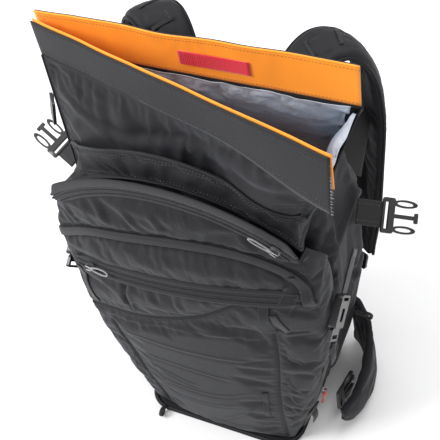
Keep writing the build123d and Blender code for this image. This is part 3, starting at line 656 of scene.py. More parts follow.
def fabric(name, colour, period=1.1 * MM, roughness=0.62, sheen=0.35, ripstop=0.0, crinkle=0.0,
           variation=0.25, weave=0.5, light=1.9, coat=0.0):
    """Woven cloth: threads across all three axes, cloudy colour, fuzz, and painted highlight and shade on
    creases.
    """
    s = Shader(name)
    threads = s.math("ADD", s.bands(period, "X"), s.bands(period, "Z"))
    threads = s.math("ADD", threads, s.bands(period, "Y"))
    cloud = s.noise(9.0, 4.0, 0.6)
    fine = s.noise(420.0, 2.0, 0.6)
    base = s.mix(cloud, scaled(colour, 1 - variation), scaled(colour, 1 + variation))
    base = s.mix(s.math("MULTIPLY", fine, 0.35), base, scaled(colour, 1.5))
    base = s.mix(s.math("MULTIPLY", threads, 0.10), base, scaled(colour, 0.45))
    height = s.math("MULTIPLY", threads, weave)
    if ripstop:
        grid_x = s.math("GREATER_THAN", s.bands(ripstop, "X"), 0.965)
        grid_z = s.math("GREATER_THAN", s.bands(ripstop, "Z"), 0.965)
        lines = s.math("MAXIMUM", grid_x, grid_z)
        base = s.mix(s.math("MULTIPLY", lines, 0.22), base, scaled(colour, 1.7))
        height = s.math("ADD", height, s.math("MULTIPLY", lines, 1.2))
    # Painted highlight on raised creases (light sets how much lighter) and painted shade in pressed ones,
    # from the crease attribute.
    crease_shade = s.node("ShaderNodeAttribute", attribute_name="crease").outputs["Fac"]
    raised = s.math("MINIMUM", s.math("MAXIMUM", crease_shade, 0.0), 1.0)
    pressed = s.math("MINIMUM", s.math("MAXIMUM", s.math("MULTIPLY", crease_shade, -1.0), 0.0), 1.0)
    base = s.mix(s.math("MULTIPLY", raised, 0.55), base, scaled(colour, light))
    base = s.mix(s.math("MULTIPLY", pressed, 0.8), base, scaled(colour, 0.25))
    normal = s.bump(height, 0.35, 0.25 * MM)
    normal = s.bump(s.noise(55.0, 3.0, 0.55), 0.25, 1.2 * MM, normal)
    if crinkle:
        normal = s.bump(s.noise(38.0, 5.0, 0.62, 1.2), crinkle, 4 * MM, normal)
    rough = s.math("ADD", s.math("MULTIPLY", fine, 0.15), roughness - 0.07)
    s.set(Base_Color=base, Roughness=rough, Normal=normal, Sheen_Weight=sheen, Sheen_Roughness=0.45,
          Sheen_Tint=(0.85, 0.88, 0.95, 1.0), Specular_IOR_Level=0.22, Coat_Weight=coat, Coat_Roughness=0.35)
    return s.material


def webbing_material(name, colour, roughness=0.55):
    """Nylon webbing: a dense diagonal rib with a satin sheen."""
    s = Shader(name)
    ribs = s.math("ADD", s.bands(1.6 * MM, "DIAGONAL"), s.math("MULTIPLY", s.bands(0.8 * MM, "Z"), 0.5))
    cloud = s.noise(14.0, 3.0)
    base = s.mix(cloud, scaled(colour, 0.75), scaled(colour, 1.3))
    base = s.mix(s.math("MULTIPLY", ribs, 0.25), base, scaled(colour, 1.9))
    fine = s.noise(600.0, 2.0)
    normal = s.bump(ribs, 0.5, 0.3 * MM)
    s.set(Base_Color=base, Roughness=s.math("ADD", s.math("MULTIPLY", fine, 0.2), roughness - 0.1),
          Normal=normal, Sheen_Weight=0.08, Specular_IOR_Level=0.3)
    return s.material


def plastic(name, colour, roughness=0.34, grain=900.0, scuff=0.35):
    """Moulded acetal: fine spark-eroded grain, lighter scuffs and slightly uneven gloss."""
    s = Shader(name)
    fine = s.noise(grain, 2.0, 0.6)
    worn = s.noise(70.0, 6.0, 0.7, 0.6)
    patch = s.ramp(worn, [(0.55, (0, 0, 0)), (0.72, (1, 1, 1))])
    base = s.mix(s.math("MULTIPLY", patch, scuff), colour, scaled(colour, 2.6))
    edge = s.node("ShaderNodeNewGeometry").outputs["Pointiness"]
    rim = s.ramp(edge, [(0.52, (0, 0, 0)), (0.6, (1, 1, 1))])
    base = s.mix(s.math("MULTIPLY", rim, 0.35), base, scaled(colour, 3.0))
    rough = s.math("ADD", s.math("MULTIPLY", worn, 0.2), roughness - 0.08)
    s.set(Base_Color=base, Roughness=rough, Normal=s.bump(fine, 0.18, 0.12 * MM), Specular_IOR_Level=0.55)
    return s.material


def metal(name, colour, roughness=0.35, coated=False):
    """Metal with fine brushing, soft stains and brighter edges."""
    s = Shader(name)
    brush = s.node("ShaderNodeTexNoise")
    stretch = s.node("ShaderNodeMapping")
    stretch.inputs["Scale"].default_value = (900.0, 900.0, 40.0)
    s.link(s.place, stretch.inputs["Vector"])
    s.link(stretch.outputs["Vector"], brush.inputs["Vector"])
    brush.inputs["Scale"].default_value = 1.0
    stain = s.noise(30.0, 5.0, 0.65)
    base = s.mix(stain, scaled(colour, 0.7), scaled(colour, 1.25))
    edge = s.node("ShaderNodeNewGeometry").outputs["Pointiness"]
    rim = s.ramp(edge, [(0.52, (0, 0, 0)), (0.6, (1, 1, 1))])
    base = s.mix(s.math("MULTIPLY", rim, 0.7), base, (0.62, 0.62, 0.64))
    rough = s.math("ADD", s.math("MULTIPLY", brush.outputs["Fac"], 0.25), roughness - 0.1)
    s.set(Base_Color=base, Roughness=rough, Normal=s.bump(brush.outputs["Fac"], 0.12, 0.1 * MM),
          Metallic=0.6 if coated else 1.0)
    return s.material


def cord_material(name, colour, period=1.5 * MM):
    """Braided cord."""
    s = Shader(name)
    braid = s.math("MULTIPLY", s.bands(period, "DIAGONAL", 1.0), s.bands(period * 0.7, "Z"))
    base = s.mix(braid, scaled(colour, 0.62), scaled(colour, 1.25))
    base = s.mix(s.math("MULTIPLY", s.noise(500.0), 0.3), base, scaled(colour, 1.5))
    s.set(Base_Color=base, Roughness=0.6, Normal=s.bump(braid, 0.6, 0.4 * MM), Sheen_Weight=0.3)
    return s.material


SHELL = fabric("shell_fabric", (0.0110, 0.0110, 0.0135), ripstop=5.2 * MM, sheen=0.08)
SIDE = fabric("side_fabric", (0.0072, 0.0072, 0.0092), ripstop=5.2 * MM, sheen=0.06)
RIM = fabric("rim_fabric", (0.0130, 0.0130, 0.0150), period=1.4 * MM, sheen=0.08)
BAND = fabric("band_fabric", (0.0085, 0.0085, 0.0105), period=1.4 * MM, sheen=0.07)
WELT = fabric("welt_fabric", (0.0125, 0.0125, 0.0148), period=1.4 * MM, roughness=0.6, sheen=0.10)
DARK = fabric("binding_fabric", (0.006, 0.006, 0.007), period=1.2 * MM, sheen=0.06)
LINING = fabric("lining_fabric", (0.47, 0.56, 0.66), period=0.9 * MM, roughness=0.36, sheen=0.15,
                crinkle=0.85, variation=0.2, weave=0.3, light=1.5, coat=0.25)
ORANGE = fabric("orange_facing", (0.95, 0.30, 0.025), period=1.0 * MM, roughness=0.5, sheen=0.1,
                variation=0.08, light=1.1)
HOOK = fabric("hook_tape", (0.62, 0.012, 0.035), period=1.6 * MM, roughness=0.8, sheen=0.6, weave=1.4)
PADDING = fabric("padding", (0.0085, 0.0085, 0.0105), period=1.6 * MM, roughness=0.7, sheen=0.08)
MESH = fabric("spacer_mesh", (0.006, 0.006, 0.0075), period=2.6 * MM, roughness=0.85, weave=1.6, sheen=0.06)
STRAP_FACE = fabric("strap_face", (0.0105, 0.0105, 0.0128), ripstop=5.2 * MM, sheen=0.08)
WEB = webbing_material("webbing", (0.0065, 0.0065, 0.0075))
WEB_GREY = webbing_material("grey_webbing", (0.17, 0.17, 0.18))
TAPE = fabric("zip_tape", (0.0085, 0.0085, 0.010), period=0.8 * MM, roughness=0.5, sheen=0.08)
TEETH = plastic("zip_teeth", (0.007, 0.007, 0.008), roughness=0.45)
THREAD = cord_material("thread", (0.034, 0.034, 0.039), period=0.9 * MM)
GREY_CORD = cord_material("pull_cord", (0.27, 0.27, 0.28))
CORAL = cord_material("bright_cord", (0.95, 0.115, 0.07))
BUCKLE = plastic("buckle_plastic", (0.009, 0.009, 0.0105), roughness=0.3)
SLIDER = metal("slider_metal", (0.10, 0.10, 0.105), roughness=0.3, coated=True)
STAY = metal("stay_aluminium", (0.62, 0.63, 0.65))
UNIT = metal("unit_aluminium", (0.14, 0.14, 0.16), roughness=0.3)
CARTRIDGE = metal("cartridge_metal", (0.45, 0.46, 0.48), roughness=0.28)
PIN = metal("pin_steel", (0.5, 0.5, 0.52), roughness=0.22)
CABLE = plastic("cable_housing", (0.03, 0.03, 0.033), roughness=0.45)
TRIGGER_RED = plastic("trigger_plastic", (0.62, 0.035, 0.02), roughness=0.38, scuff=0.15)
SHEET = plastic("stiffener_plastic", (0.05, 0.05, 0.055), roughness=0.5)
AIRBAG = fabric("airbag_fabric", (0.88, 0.24, 0.02), period=1.0 * MM, roughness=0.42, sheen=0.2, crinkle=0.5,
                variation=0.1, light=1.2)
FLOOR = Shader("floor")
FLOOR.set(Base_Color=FLOOR.mix(FLOOR.noise(3.0), (0.86, 0.86, 0.87), (0.90, 0.90, 0.905)), Roughness=0.8)


def painted(obj, material):
    """obj with material as its only one."""
    obj.data.materials.clear()
    obj.data.materials.append(material)
    return obj


def finish_piece(made, slot, *replaced, body="bag"):
    """Rides a finished piece on its body and hides the CAD nodes that it stands for; slot is not used."""
    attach(made, body)
    if replaced:
        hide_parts(*replaced)


def soften(obj, width, merge=0.01 * MM):
    """Welds obj and rounds its sharp edges."""
    obj.modifiers.new("weld", "WELD").merge_threshold = merge
    edge = obj.modifiers.new("edge", "BEVEL")
    edge.width = width
    edge.segments = 2
    edge.limit_method = "ANGLE"
    edge.angle_limit = SHARP
    edge.use_clamp_overlap = True


def box(node):
    low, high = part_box(node)
    return np.array(low), np.array(high)


def pivot(joint):
    return np.array(joints[joint]["pos_m"], float)


def axis_of(joint):
    return unit(np.array(joints[joint]["axis"], float))


def strap_box(node, side=0):
    """Middle, long direction, width direction, normal and full sizes of a straight CAD strap.

    With side 1 or -1, only the node's solid on that side of the pack counts.
    """
    points = np.unique(np.round(coords(nodes[node].data), 6), axis=0)
    if side:
        points = points[points[:, 0] * side > 0]
    middle = (points.max(0) + points.min(0)) / 2
    _, _, axes = np.linalg.svd(points - points.mean(0))
    local = (points - middle) @ axes.T
    return middle, axes[0], axes[1], axes[2], local.max(0) - local.min(0)


def strap(name, points, width, up, thickness=1.7 * MM, crown=0.3 * MM, spacing=3 * MM):
    """Flat webbing along a smooth path through the points. up is its outer side, one or one per point."""
    up = np.broadcast_to(np.asarray(up, float), (len(points), 3))
    both = spline(np.hstack([np.asarray(points, float), up * 0.01]), spacing)
    return sweep(name, both[:, :3], slab(width, thickness, crown), unit(both[:, 3:]))


def bar_tack(centre, along, across, normal, length, width, lift=1.2 * MM, turns=9):
    """A dense zigzag of thread that anchors webbing."""
    a = np.linspace(-0.5, 0.5, turns)
    path = [centre + along * width * (0.5 if k % 2 else -0.5) + across * length * t + normal * lift
            for k, t in enumerate(a)]
    return cord("tack", resample(path, 1.2 * MM), 0.5 * MM, 6)


# ---------------------------------------------------------------- main bag
BAG_LEVELS = np.array(((6, 252), (120, 312), (260, 346), (400, 346), (480, 306)), float) * MM  # height, width
BAG_CORNER, BAG_STEP, BAG_COLUMNS = 34 * MM, 9 * MM, 105
FLOOR_ROWS = 17
bag_low, bag_high = box("main_bag")
BAG_DEPTH = bag_high[1] - bag_low[1]
BAG_MIDDLE_Y = (bag_high[1] + bag_low[1]) / 2


def bag_ring(z, width, depth, corner=BAG_CORNER):
    """Points round the bag's section at height z, from its right side and anticlockwise."""
    ring = round_ring(width, depth, corner, 12)
    flat = resample(ring, length_of(ring) / BAG_COLUMNS)[:-1]
    return at_height(flat + (0, BAG_MIDDLE_Y), z)


def bag_grid():
    """Grid over the bag: a floor from its middle outwards, then its sides up to the collar seam."""
    levels, widths = BAG_LEVELS.T
    rows = [bag_ring(levels[0], widths[0] * share, BAG_DEPTH * share, BAG_CORNER * share * 0.9)
            for share in np.linspace(0.05, 0.97, FLOOR_ROWS - 1)]
    for z in np.append(np.arange(levels[0], levels[-1], BAG_STEP), levels[-1]):
        rows.append(bag_ring(z, np.interp(z, levels, widths), BAG_DEPTH))
    return np.array(rows)


def cloth_grid(grid, sewn, pressure, cap, slack, closed_columns=False):
    """The grid after its fabric has billowed. sewn holds how firmly each grid point is held."""
    obj = grid_object(grid, closed_columns)
    simulate(obj, pressure, cap, slack, sewn.ravel())
    out = coords(obj.data).reshape(grid.shape)
    bpy.data.objects.remove(obj)
    return out


def finer(grid, closed_columns=False):
    """The grid with a point between every two, smoothly."""
    def double(g, closed):
        if closed:
            g = np.concatenate([g[-1:], g, g[:2]], axis=0)
        else:
            g = np.concatenate([2 * g[:1] - g[1:2], g, 2 * g[-1:] - g[-2:-1]], axis=0)
        middle = (-g[:-3] + 9 * g[1:-2] + 9 * g[2:-1] - g[3:]) / 16
        out = np.empty((len(middle) * 2, *g.shape[1:]))
        out[0::2] = g[1:-2]
        out[1::2] = middle
        return out if closed else np.concatenate([out, g[-2:-1]], axis=0)

    grid = double(grid, False)
    return np.swapaxes(double(np.swapaxes(grid, 0, 1), closed_columns), 0, 1)


shell_grid = bag_grid()
y = shell_grid[..., 1]
sewn = np.zeros(y.shape)
sewn[:FLOOR_ROWS] = sewn[-2:] = 1
sewn[(y < bag_low[1] + 6 * MM) | (y > bag_high[1] - 4 * MM)] = 1  # against the pockets and the back panel
shell_grid = finer(cloth_grid(shell_grid, sewn, 3.0, 9 * MM, 0.035, closed_columns=True), closed_columns=True)
main_shell = painted(sheet("main_bag_shell", shell_grid[:, ::-1], SHELL_THICK, closed_columns=True), SIDE)
# Side seams pressed in with painted shade, and long folds with painted highlight on raised ones and painted
# shade in pressed ones.
for side in (-1, 1):
    seam = spline([(side * (width / 2 - 6 * MM), 60 * MM, height) for height, width in BAG_LEVELS])
    crease(main_shell, seam, 1.2 * MM, 3 * MM, facing=(side, 0, 0))
    for fold, (fold_y, lean) in enumerate(((-28, 6), (-8, -8), (14, 10), (34, -6))):
        line = spline([mm(side * 180, fold_y + lean * t, 150 + 240 * t) for t in (0, 0.35, 0.7, 1)])
        line, _ = lay(skin_of(main_shell), line, (-side, 0, 0))
        depth, shade = (-2.2, 0.25) if fold % 2 else (2.0, -0.3)
        crease(main_shell, line, depth * MM, 7 * MM, shade, (side, 0, 0), ends=60 * MM)
finish_piece(main_shell, "shell_fabric", "main_bag")

lining_normal = grid_normals(shell_grid[:, ::-1], closed_columns=True)[:, ::-1]
ripple = wrinkle_noise(shell_grid.reshape(-1, 3), 34, 2).reshape(shell_grid.shape[:2])
lining_grid = shell_grid - lining_normal * (3.2 * MM + np.abs(ripple) * 2.0 * MM)[..., None]
bag_lining = sheet("bag_lining_cloth", lining_grid[:, ::-1], 0.7 * MM, closed_columns=True)
finish_piece(painted(bag_lining, LINING), "lining_fabric", "bag_lining")


# ---------------------------------------------------------------- zips
def zip_run(node, joint, belt):
    """Path and outward normals of a curved zip's underside, from its node and its slider's joint."""
    centre, axis = pivot(joint), axis_of(joint)
    from_centre = coords(nodes[node].data) - centre
    height = from_centre @ axis
    radial = from_centre - height[:, None] * axis
    radius = np.linalg.norm(radial, axis=1)
    ahead = unit(radial.mean(0))
    aside = np.cross(axis, ahead)
    angle = np.arctan2(radial @ aside, radial @ ahead)
    reach = radius.min() if belt else (radius.min() + radius.max()) / 2
    level = (height.min() + height.max()) / 2 if belt else height.min()
    a = np.linspace(angle.min(), angle.max(), 140)[:, None]
    out = ahead * np.cos(a) + aside * np.sin(a)
    path = centre + axis * level + out * reach
    if path[0, 0] > path[-1, 0]:
        path, out = path[::-1], out[::-1]
    normal = out if belt else np.broadcast_to(axis if axis[1] < 0 else -axis, out.shape)
    return path, unit(normal)


goggle_path, goggle_up = zip_run("goggle_zip", "goggle_zip_run", belt=False)
front_zip_path, front_zip_up = zip_run("front_zip", "front_zip_run", belt=True)
tool_middle, tool_along, _, _, tool_size = strap_box("tool_zip")
tool_along = tool_along * np.sign(tool_along[2])
tool_up = unit(np.array([tool_along[2], 0, -tool_along[0]]))
tool_path = resample([tool_middle + tool_along * tool_size[0] / 2 * end - tool_up * 0.8 * MM
                      for end in (-1, 1)], 3 * MM)
BLOCK = ((0, 1, 3, 2), (4, 6, 7, 5), (0, 4, 5, 1), (2, 3, 7, 6), (0, 2, 6, 4), (1, 5, 7, 3))


def build_zip(name, path, up, node):
    """Tape, coil and stitching of a zip."""
    across = unit(np.cross(tangents(path), up))
    tape = sweep(name + "_tape", path + up * 0.35 * MM, slab(11 * MM, 0.7 * MM), up)
    line = resample(np.hstack([path, up * 0.01]), 1.5 * MM)
    at, normal = line[:, :3], unit(line[:, 3:])
    ahead = tangents(at)
    aside = unit(np.cross(ahead, normal))
    verts, faces = [], []
    for k, (p, t, s, n) in enumerate(zip(at, ahead, aside, normal)):
        p = p + n * 0.9 * MM + s * (0.5 if k % 2 else -0.5) * MM
        faces += [tuple(len(verts) + i for i in f) for f in BLOCK]
        verts += [p + t * dx * 0.5 * MM + s * dy * 1.3 * MM + n * dz * 0.45 * MM
                  for dx in (-1, 1) for dy in (-1, 1) for dz in (-1, 1)]
    coil = make_object(name + "_coil", verts, faces, smooth=False)
    rows = [stitches(path + across * side * 4.4 * MM + up * 0.75 * MM, up) for side in (-1, 1)]
    finish_piece(joined(name, [painted(tape, TAPE), painted(coil, TEETH), *rows]), "zip_tape", node)


build_zip("goggle_zip_run", goggle_path, goggle_up, "goggle_zip")
build_zip("front_zip_run", front_zip_path, front_zip_up, "front_zip")
build_zip("tool_zip_run", tool_path, np.broadcast_to(tool_up, tool_path.shape), "tool_zip")

# ---------------------------------------------------------------- front pockets, as one sewn form
pocket_low = box("lower_pocket")[0]
pocket_high = box("upper_pocket")[1]
POCKET_STEP = 4.5 * MM
ROOF_FOOT = 486 * MM  # height at which the upper pocket's sides turn into its roof


def pocket_grid(columns=118):
    """Grid over the front of both CAD pockets, from their right back edge round to their left one."""
    tree = skin_of(nodes["lower_pocket"], nodes["upper_pocket"])
    foot_y = bag_low[1] - 3 * MM
    rows = []
    heights = np.arange(pocket_low[2] + 3 * MM, pocket_high[2] - 24 * MM, POCKET_STEP)
    crown = pocket_high[2] - 0.4 * MM - (pocket_high[2] - heights[-1]) * np.linspace(1, 0, 11)[1:] ** 2
    for z in np.append(heights, crown):
        ring = []
        for a in np.linspace(0, math.pi, 161):
            ahead = Vector((math.cos(a), -0.55 * math.sin(a), 0)).normalized()
            start = Vector((0, foot_y, z)) + ahead * 0.4
            hit = tree.ray_cast(start, -ahead)[0]
            if hit is not None and hit.y < foot_y + 1e-4:
                ring.append(hit)
        ring = resample(ring, 1 * MM)
        along = np.linspace(0, len(ring) - 1, columns)
        rows.append(np.stack([np.interp(along, np.arange(len(ring)), ring[:, k]) for k in range(3)], axis=1))
    return np.array(rows)


front_grid = pocket_grid()
side_ease = smoothstep((np.abs(np.linspace(-1, 1, front_grid.shape[1])) - 0.70) / 0.2)[None, :, None]
below_step = 1 - smoothstep((front_grid[1:-1, :, 2:] - ROOF_FOOT) / (16 * MM))
for turn in range(40):
    eased = front_grid[1:-1] * 0.5 + (front_grid[:-2] + front_grid[2:]) * 0.25
    front_grid[1:-1] += (eased - front_grid[1:-1]) * (1.0 if turn < 2 else side_ease * below_step)
pockets = grid_object(front_grid)

# Lines of the sewing, as (x, z) in front of the pack, in millimetres.
E_SEAM = front_path([(-170, 246), (-130, 262), (-80, 277), (-20, 303), (27, 330), (68, 365), (103, 392)])
LEFT_EDGE = front_path([(-132, 232), (-126, 205), (-112, 162), (-99, 100), (-90, 50), (-88, 14)])
RIGHT_SEAM = front_path([(116, 322), (117, 255), (111, 171), (107, 51), (106, 10)])
WELT_LINE = front_path([(-173, 397), (-120, 432), (-70, 449), (0, 465), (60, 470), (104, 464), (138, 448),
                        (158, 424), (166, 388)])
TOP_CORNER = front_path([(112, 326), (128, 330), (150, 331), (166, 330)])
FOLD = front_path([(-76, 362), (-84, 335), (-84, 306), (-77, 284)])
LEFT_STRAP = front_path([(-160, 332), (-156, 300), (-150, 262)])
PLEATS, GUSSET_PLEATS, SMALL_FOLDS = ([front_path(pairs) for pairs in lines] for lines in (
    ([(-146, 246), (-84, 262), (-24, 284), (59, 305), (112, 302)],
     [(-134, 225), (-74, 235), (3, 244), (51, 250), (110, 260)],
     [(-114, 180), (-62, 190), (-5, 194), (60, 192)],
     [(-104, 165), (-58, 159), (-20, 150), (10, 148)],
     [(-94, 131), (-43, 129), (-1, 131), (40, 143), (85, 172)],
     [(-86, 96), (-40, 92), (10, 100), (60, 122)],
     [(8, 43), (45, 82), (84, 130)],
     [(-20, 38), (40, 40), (98, 66)]),
    ([(119, 214), (132, 190), (146, 172)], [(117, 178), (130, 152), (142, 138)],
     [(115, 146), (128, 120), (138, 108)], [(120, 286), (134, 262), (152, 250)],
     [(114, 96), (124, 84), (134, 80)]),
    ([(-150, 470), (-138, 448), (-128, 430)], [(-96, 498), (-84, 476), (-78, 458)],
     [(-58, 505), (-44, 486), (-36, 470)], [(-22, 512), (-10, 494), (0, 478)],
     [(84, 508), (96, 492), (110, 478)], [(40, 352), (34, 372), (30, 388)],
     [(-40, 330), (-48, 352), (-50, 374)], [(0, 330), (-6, 352), (-6, 376)]),
))


def near_line(points, path, reach):
    """How near each point is to a line seen from the front, from 1 on it to 0 at reach."""
    flat, line = points.copy(), path.copy()
    flat[:, 1] = 0
    line[:, 1] = 0
    out = np.zeros(len(points))
    picked = np.nonzero(box_near(flat, line, reach))[0]
    if len(picked):
        distance, _, _ = nearest(flat[picked], line)
        out[picked] = smoothstep(1 - distance / reach)
    return out


points = coords(pockets.data)
held = np.zeros(len(points))
held[points[:, 1] > bag_low[1] - 8 * MM] = 1
held[points[:, 2] < pocket_low[2] + 6 * MM] = 1
for line in (E_SEAM, LEFT_EDGE, RIGHT_SEAM, WELT_LINE, goggle_path, front_zip_path):
    held = np.maximum(held, near_line(points, line, 12 * MM))
held = np.maximum(held, smoothstep((points[:, 2] - pocket_high[2] + 30 * MM) / (20 * MM)))
simulate(pockets, 3.0, 7 * MM, 0.03, held)
relax(pockets, 1)
front_grid = finer(coords(pockets.data).reshape(front_grid.shape))
bpy.data.objects.remove(pockets)
pockets = grid_object(front_grid)


def flatten_under(obj, path, up, half_width, gap):
    """Draws the fabric in so that it lies just under a zip or welt."""
    points = coords(obj.data)
    picked = np.nonzero(box_near(points, path, 0.03))[0]
    _, index, offset = nearest(points[picked], path)
    height = np.einsum("ij,ij->i", offset, up[index])
    beside = np.linalg.norm(offset - height[:, None] * up[index], axis=1)
    share = 1 - smoothstep((beside - half_width) / (8 * MM))
    share[np.abs(height) > 0.02] = 0
    points[picked] += up[index] * (share * (-gap - height))[:, None]
    set_coords(obj.data, points)


flatten_under(pockets, goggle_path, goggle_up, 8 * MM, 0.3 * MM)
flatten_under(pockets, front_zip_path, front_zip_up, 8 * MM, 0.3 * MM)
FRONT, FACING = (0, 1, 0), (0, -1, 0)


def front_lay(path):
    return lay(skin_of(pockets), path, FRONT)[0]


def fold_pair(path, first, shift, second, facing=FACING, ends=30 * MM):
    """A raised or pressed line and its shadow, shift away. Each has a depth, a width and a shade."""
    for line, (depth, width, shade) in ((path, first), (path + shift, second)):
        crease(pockets, line, depth * MM, width * MM, shade, facing, ends)


# Seams and pocket edges pressed in, with painted shade along them.
for line, depth, width in ((E_SEAM, 2.2, 3.4), (RIGHT_SEAM, 2.4, 3.2), (LEFT_EDGE, 3.2, 3.6),
                           (TOP_CORNER, 2.6, 3.2)):
    crease(pockets, front_lay(line), depth * MM, width * MM, -0.9, FACING, ends=8 * MM)
# Pleats and folds: raised lines with painted highlight beside pressed lines with painted shade.
for line in PLEATS:
    fold_pair(front_lay(line), (-1.3, 2.4, 0.75), mm(0, 0, -5), (0.8, 3.4, -0.2))
for line in GUSSET_PLEATS:
    fold_pair(front_lay(line), (-1.6, 2.6, 0.6), mm(0, 0, -6), (1.6, 3.4, -0.5), None, 12 * MM)
for line in SMALL_FOLDS:
    fold_pair(front_lay(line), (-1.6, 5, 0.35), mm(9, 0, 2), (1.6, 5, -0.3), ends=16 * MM)
fold_pair(front_lay(FOLD), (6, 5, -0.8), mm(9, 0, 0), (-3, 4.5, 0.5), ends=18 * MM)
welt_path, welt_up = lay(skin_of(pockets), WELT_LINE, FRONT)
# Pressed lines beside the welt and both zips, with painted shade in them.
for path, up, reach, depth, shade in ((welt_path, welt_up, 8.5, 2.2, -1.2),
                                      (goggle_path, goggle_up, 8, 0.6, -0.7),
                                      (front_zip_path, front_zip_up, 8, 0.6, -0.7)):
    beside = unit(np.cross(tangents(path), up))
    for shift in (-reach, reach):
        crease(pockets, path + beside * shift * MM, depth * MM, 2.6 * MM, shade, FACING, ends=10 * MM)
pocket_skin = skin_of(pockets)
pocket_shell = skinned("front_pocket_shell", pockets, front_grid.shape[:2], POCKET_THICK)
finish_piece(painted(pocket_shell, SHELL), "shell_fabric", "lower_pocket", "upper_pocket")


def on_front(name, pairs, width, lift, crown, material, thickness=1.6 * MM, rows=()):
    """A sewn strip of fabric or webbing that follows the pockets' front, with rows of stitches."""
    path, up = lay(pocket_skin, pairs if isinstance(pairs, np.ndarray) else front_path(pairs), FRONT)
    path = smooth_path(path, 4) + up * lift
    across = unit(np.cross(tangents(path), up))
    rows = [stitches(path + across * row * MM + up * (thickness / 2 + crown * 0.6), up) for row in rows]
    strip = painted(sweep(name, path, slab(width * MM, thickness, crown), up), material)
    finish_piece(joined(name, [strip, *rows]), "shell_fabric")


on_front("waist_welt", WELT_LINE, 14, 0.7 * MM, 0.7 * MM, WELT, rows=(-5.2, 0.0, 5.2))
for name, path, up, widths in (("goggle_welt", goggle_path, goggle_up, (15, 6)),
                               ("front_welt", front_zip_path, front_zip_up, (7, 7))):
    beside = unit(np.cross(tangents(path), up))
    for side, width in zip((-1, 1), widths):
        label = "upper" if beside[len(beside) // 2][2] * side > 0 else "lower"
        share = np.linspace(0, 1, len(path))[:, None, None]
        ends = 0.25 + 0.75 * smoothstep(np.minimum(share, 1 - share) / 0.08)
        half = width / 2 * ends[:, :, 0]
        middle = path + beside * side * (5.6 + half) * MM + up * 0.7 * MM
        outline = slab(width * MM, 1.5 * MM, 0.5 * MM)[None] * (ends * (1, 0) + (0, 1))
        strip = painted(sweep(f"{name}_{label}", middle, outline, up), WELT)
        row = stitches(middle - beside * side * (half - 1.8) * MM + up * 0.9 * MM, up)
        finish_piece(joined(f"{name}_{label}", [strip, row]), "shell_fabric")


def shade_cords(name, path, up, offsets, radius=0.9 * MM):
    """Dark cords half sunk into the fabric beside a path, as painted shade in the creases there."""
    across = unit(np.cross(tangents(path), up))
    parts = []
    for offset in offsets:
        line, _ = lay(pocket_skin, path + across * offset * MM, FRONT, 0.1 * MM)
        parts.append(painted(cord("seam_cord", smooth_path(line, 3), radius, 6), DARK))
    finish_piece(joined(name, parts), "shell_fabric")


# Painted shade: dark cords in the creases beside the welts and zips and along the pocket seams and left edge.
shade_cords("waist_shade_cords", welt_path, welt_up, (-8, 8))
shade_cords("goggle_shade_cords", goggle_path, goggle_up, (-12.6, 6.0))
shade_cords("front_zip_shade_cords", front_zip_path, front_zip_up, (-13.4, 13.4))
shade_cords("pocket_seam_shade_cord", *lay(pocket_skin, E_SEAM, FRONT), (0.0,), 0.8 * MM)
shade_cords("right_seam_shade_cord", *lay(pocket_skin, RIGHT_SEAM, FRONT), (0.0,), 0.8 * MM)
shade_cords("left_edge_shade_cord", *lay(pocket_skin, LEFT_EDGE, FRONT), (0.0,), 1.1 * MM)
for name, line, offsets in (("pocket_edge", E_SEAM, (4,)), ("right_seam", RIGHT_SEAM, (-4,)),
                            ("left_seam", LEFT_EDGE, (4, -4))):
    path, up = lay(pocket_skin, line, FRONT)
    across = unit(np.cross(tangents(smooth_path(path, 4)), up))
    rows = []
    for offset in offsets:
        at, normal = lay(pocket_skin, path + across * offset * MM, FRONT, 0.25 * MM)
        rows.append(stitches(smooth_path(at, 2), normal))
    finish_piece(joined(f"{name}_stitching", rows), "shell_fabric")

# Stitched patch at the right end of the front zip, the loop tabs below it, and a plain strip on the pocket.
on_front("zip_end_patch", [(140, 440), (146, 420), (141, 398), (132, 376)], 22, 0.8 * MM, 0.3 * MM, BAND,
         rows=(-8.5, 8.5))
on_front("front_tab", [(110, 384), (111, 356), (114, 322)], 15, 1.0 * MM, 0.3 * MM, BAND, rows=(-5.5, 5.5))
on_front("side_tab", [(122, 370), (130, 348), (136, 330)], 10, 1.1 * MM, 0.3 * MM, WEB)
on_front("left_strap", LEFT_STRAP, 13, 1.0 * MM, 0.3 * MM, WEB)
on_front("pocket_badge", [(92, 168), (90, 130), (88, 92)], 9, 0.6 * MM, 0.1 * MM, BAND, thickness=0.8 * MM)

# ---------------------------------------------------------------- base
base_low, base_high = box("base_panel")
base = cad_form("base_cloth", "base_panel")
remesh(base, 2.5 * MM)
relax(base, 3)
points = coords(base.data)
points += vertex_normals(base.data) * (wrinkle_noise(points, 26, 4) * 0.5 * MM)[:, None]
points[:, 2] = np.maximum(points[:, 2], base_low[2])
set_coords(base.data, points)
finish_piece(painted(base, DARK), "rim_fabric", "base_panel")
for name, z, grow, radius, material in (("base_piping", base_high[2] + 0.6 * MM, 1.5, 1.9, WELT),
                                        ("base_binding_upper", base_high[2] - 2.2 * MM, 2.6, 2.2, DARK),
                                        ("base_binding_lower", base_low[2] + 1.9 * MM, 2.0, 1.8, WEB)):
    width, depth = (base_high - base_low)[:2] + 2 * grow * MM
    ring = resample(round_ring(width, depth, PANEL_CORNER) + ((base_high + base_low) / 2)[:2], 4 * MM)[:-1]
    pipe = cord(name, at_height(ring, z), radius * MM, 10, closed=True)
    finish_piece(painted(pipe, material), "rim_fabric")

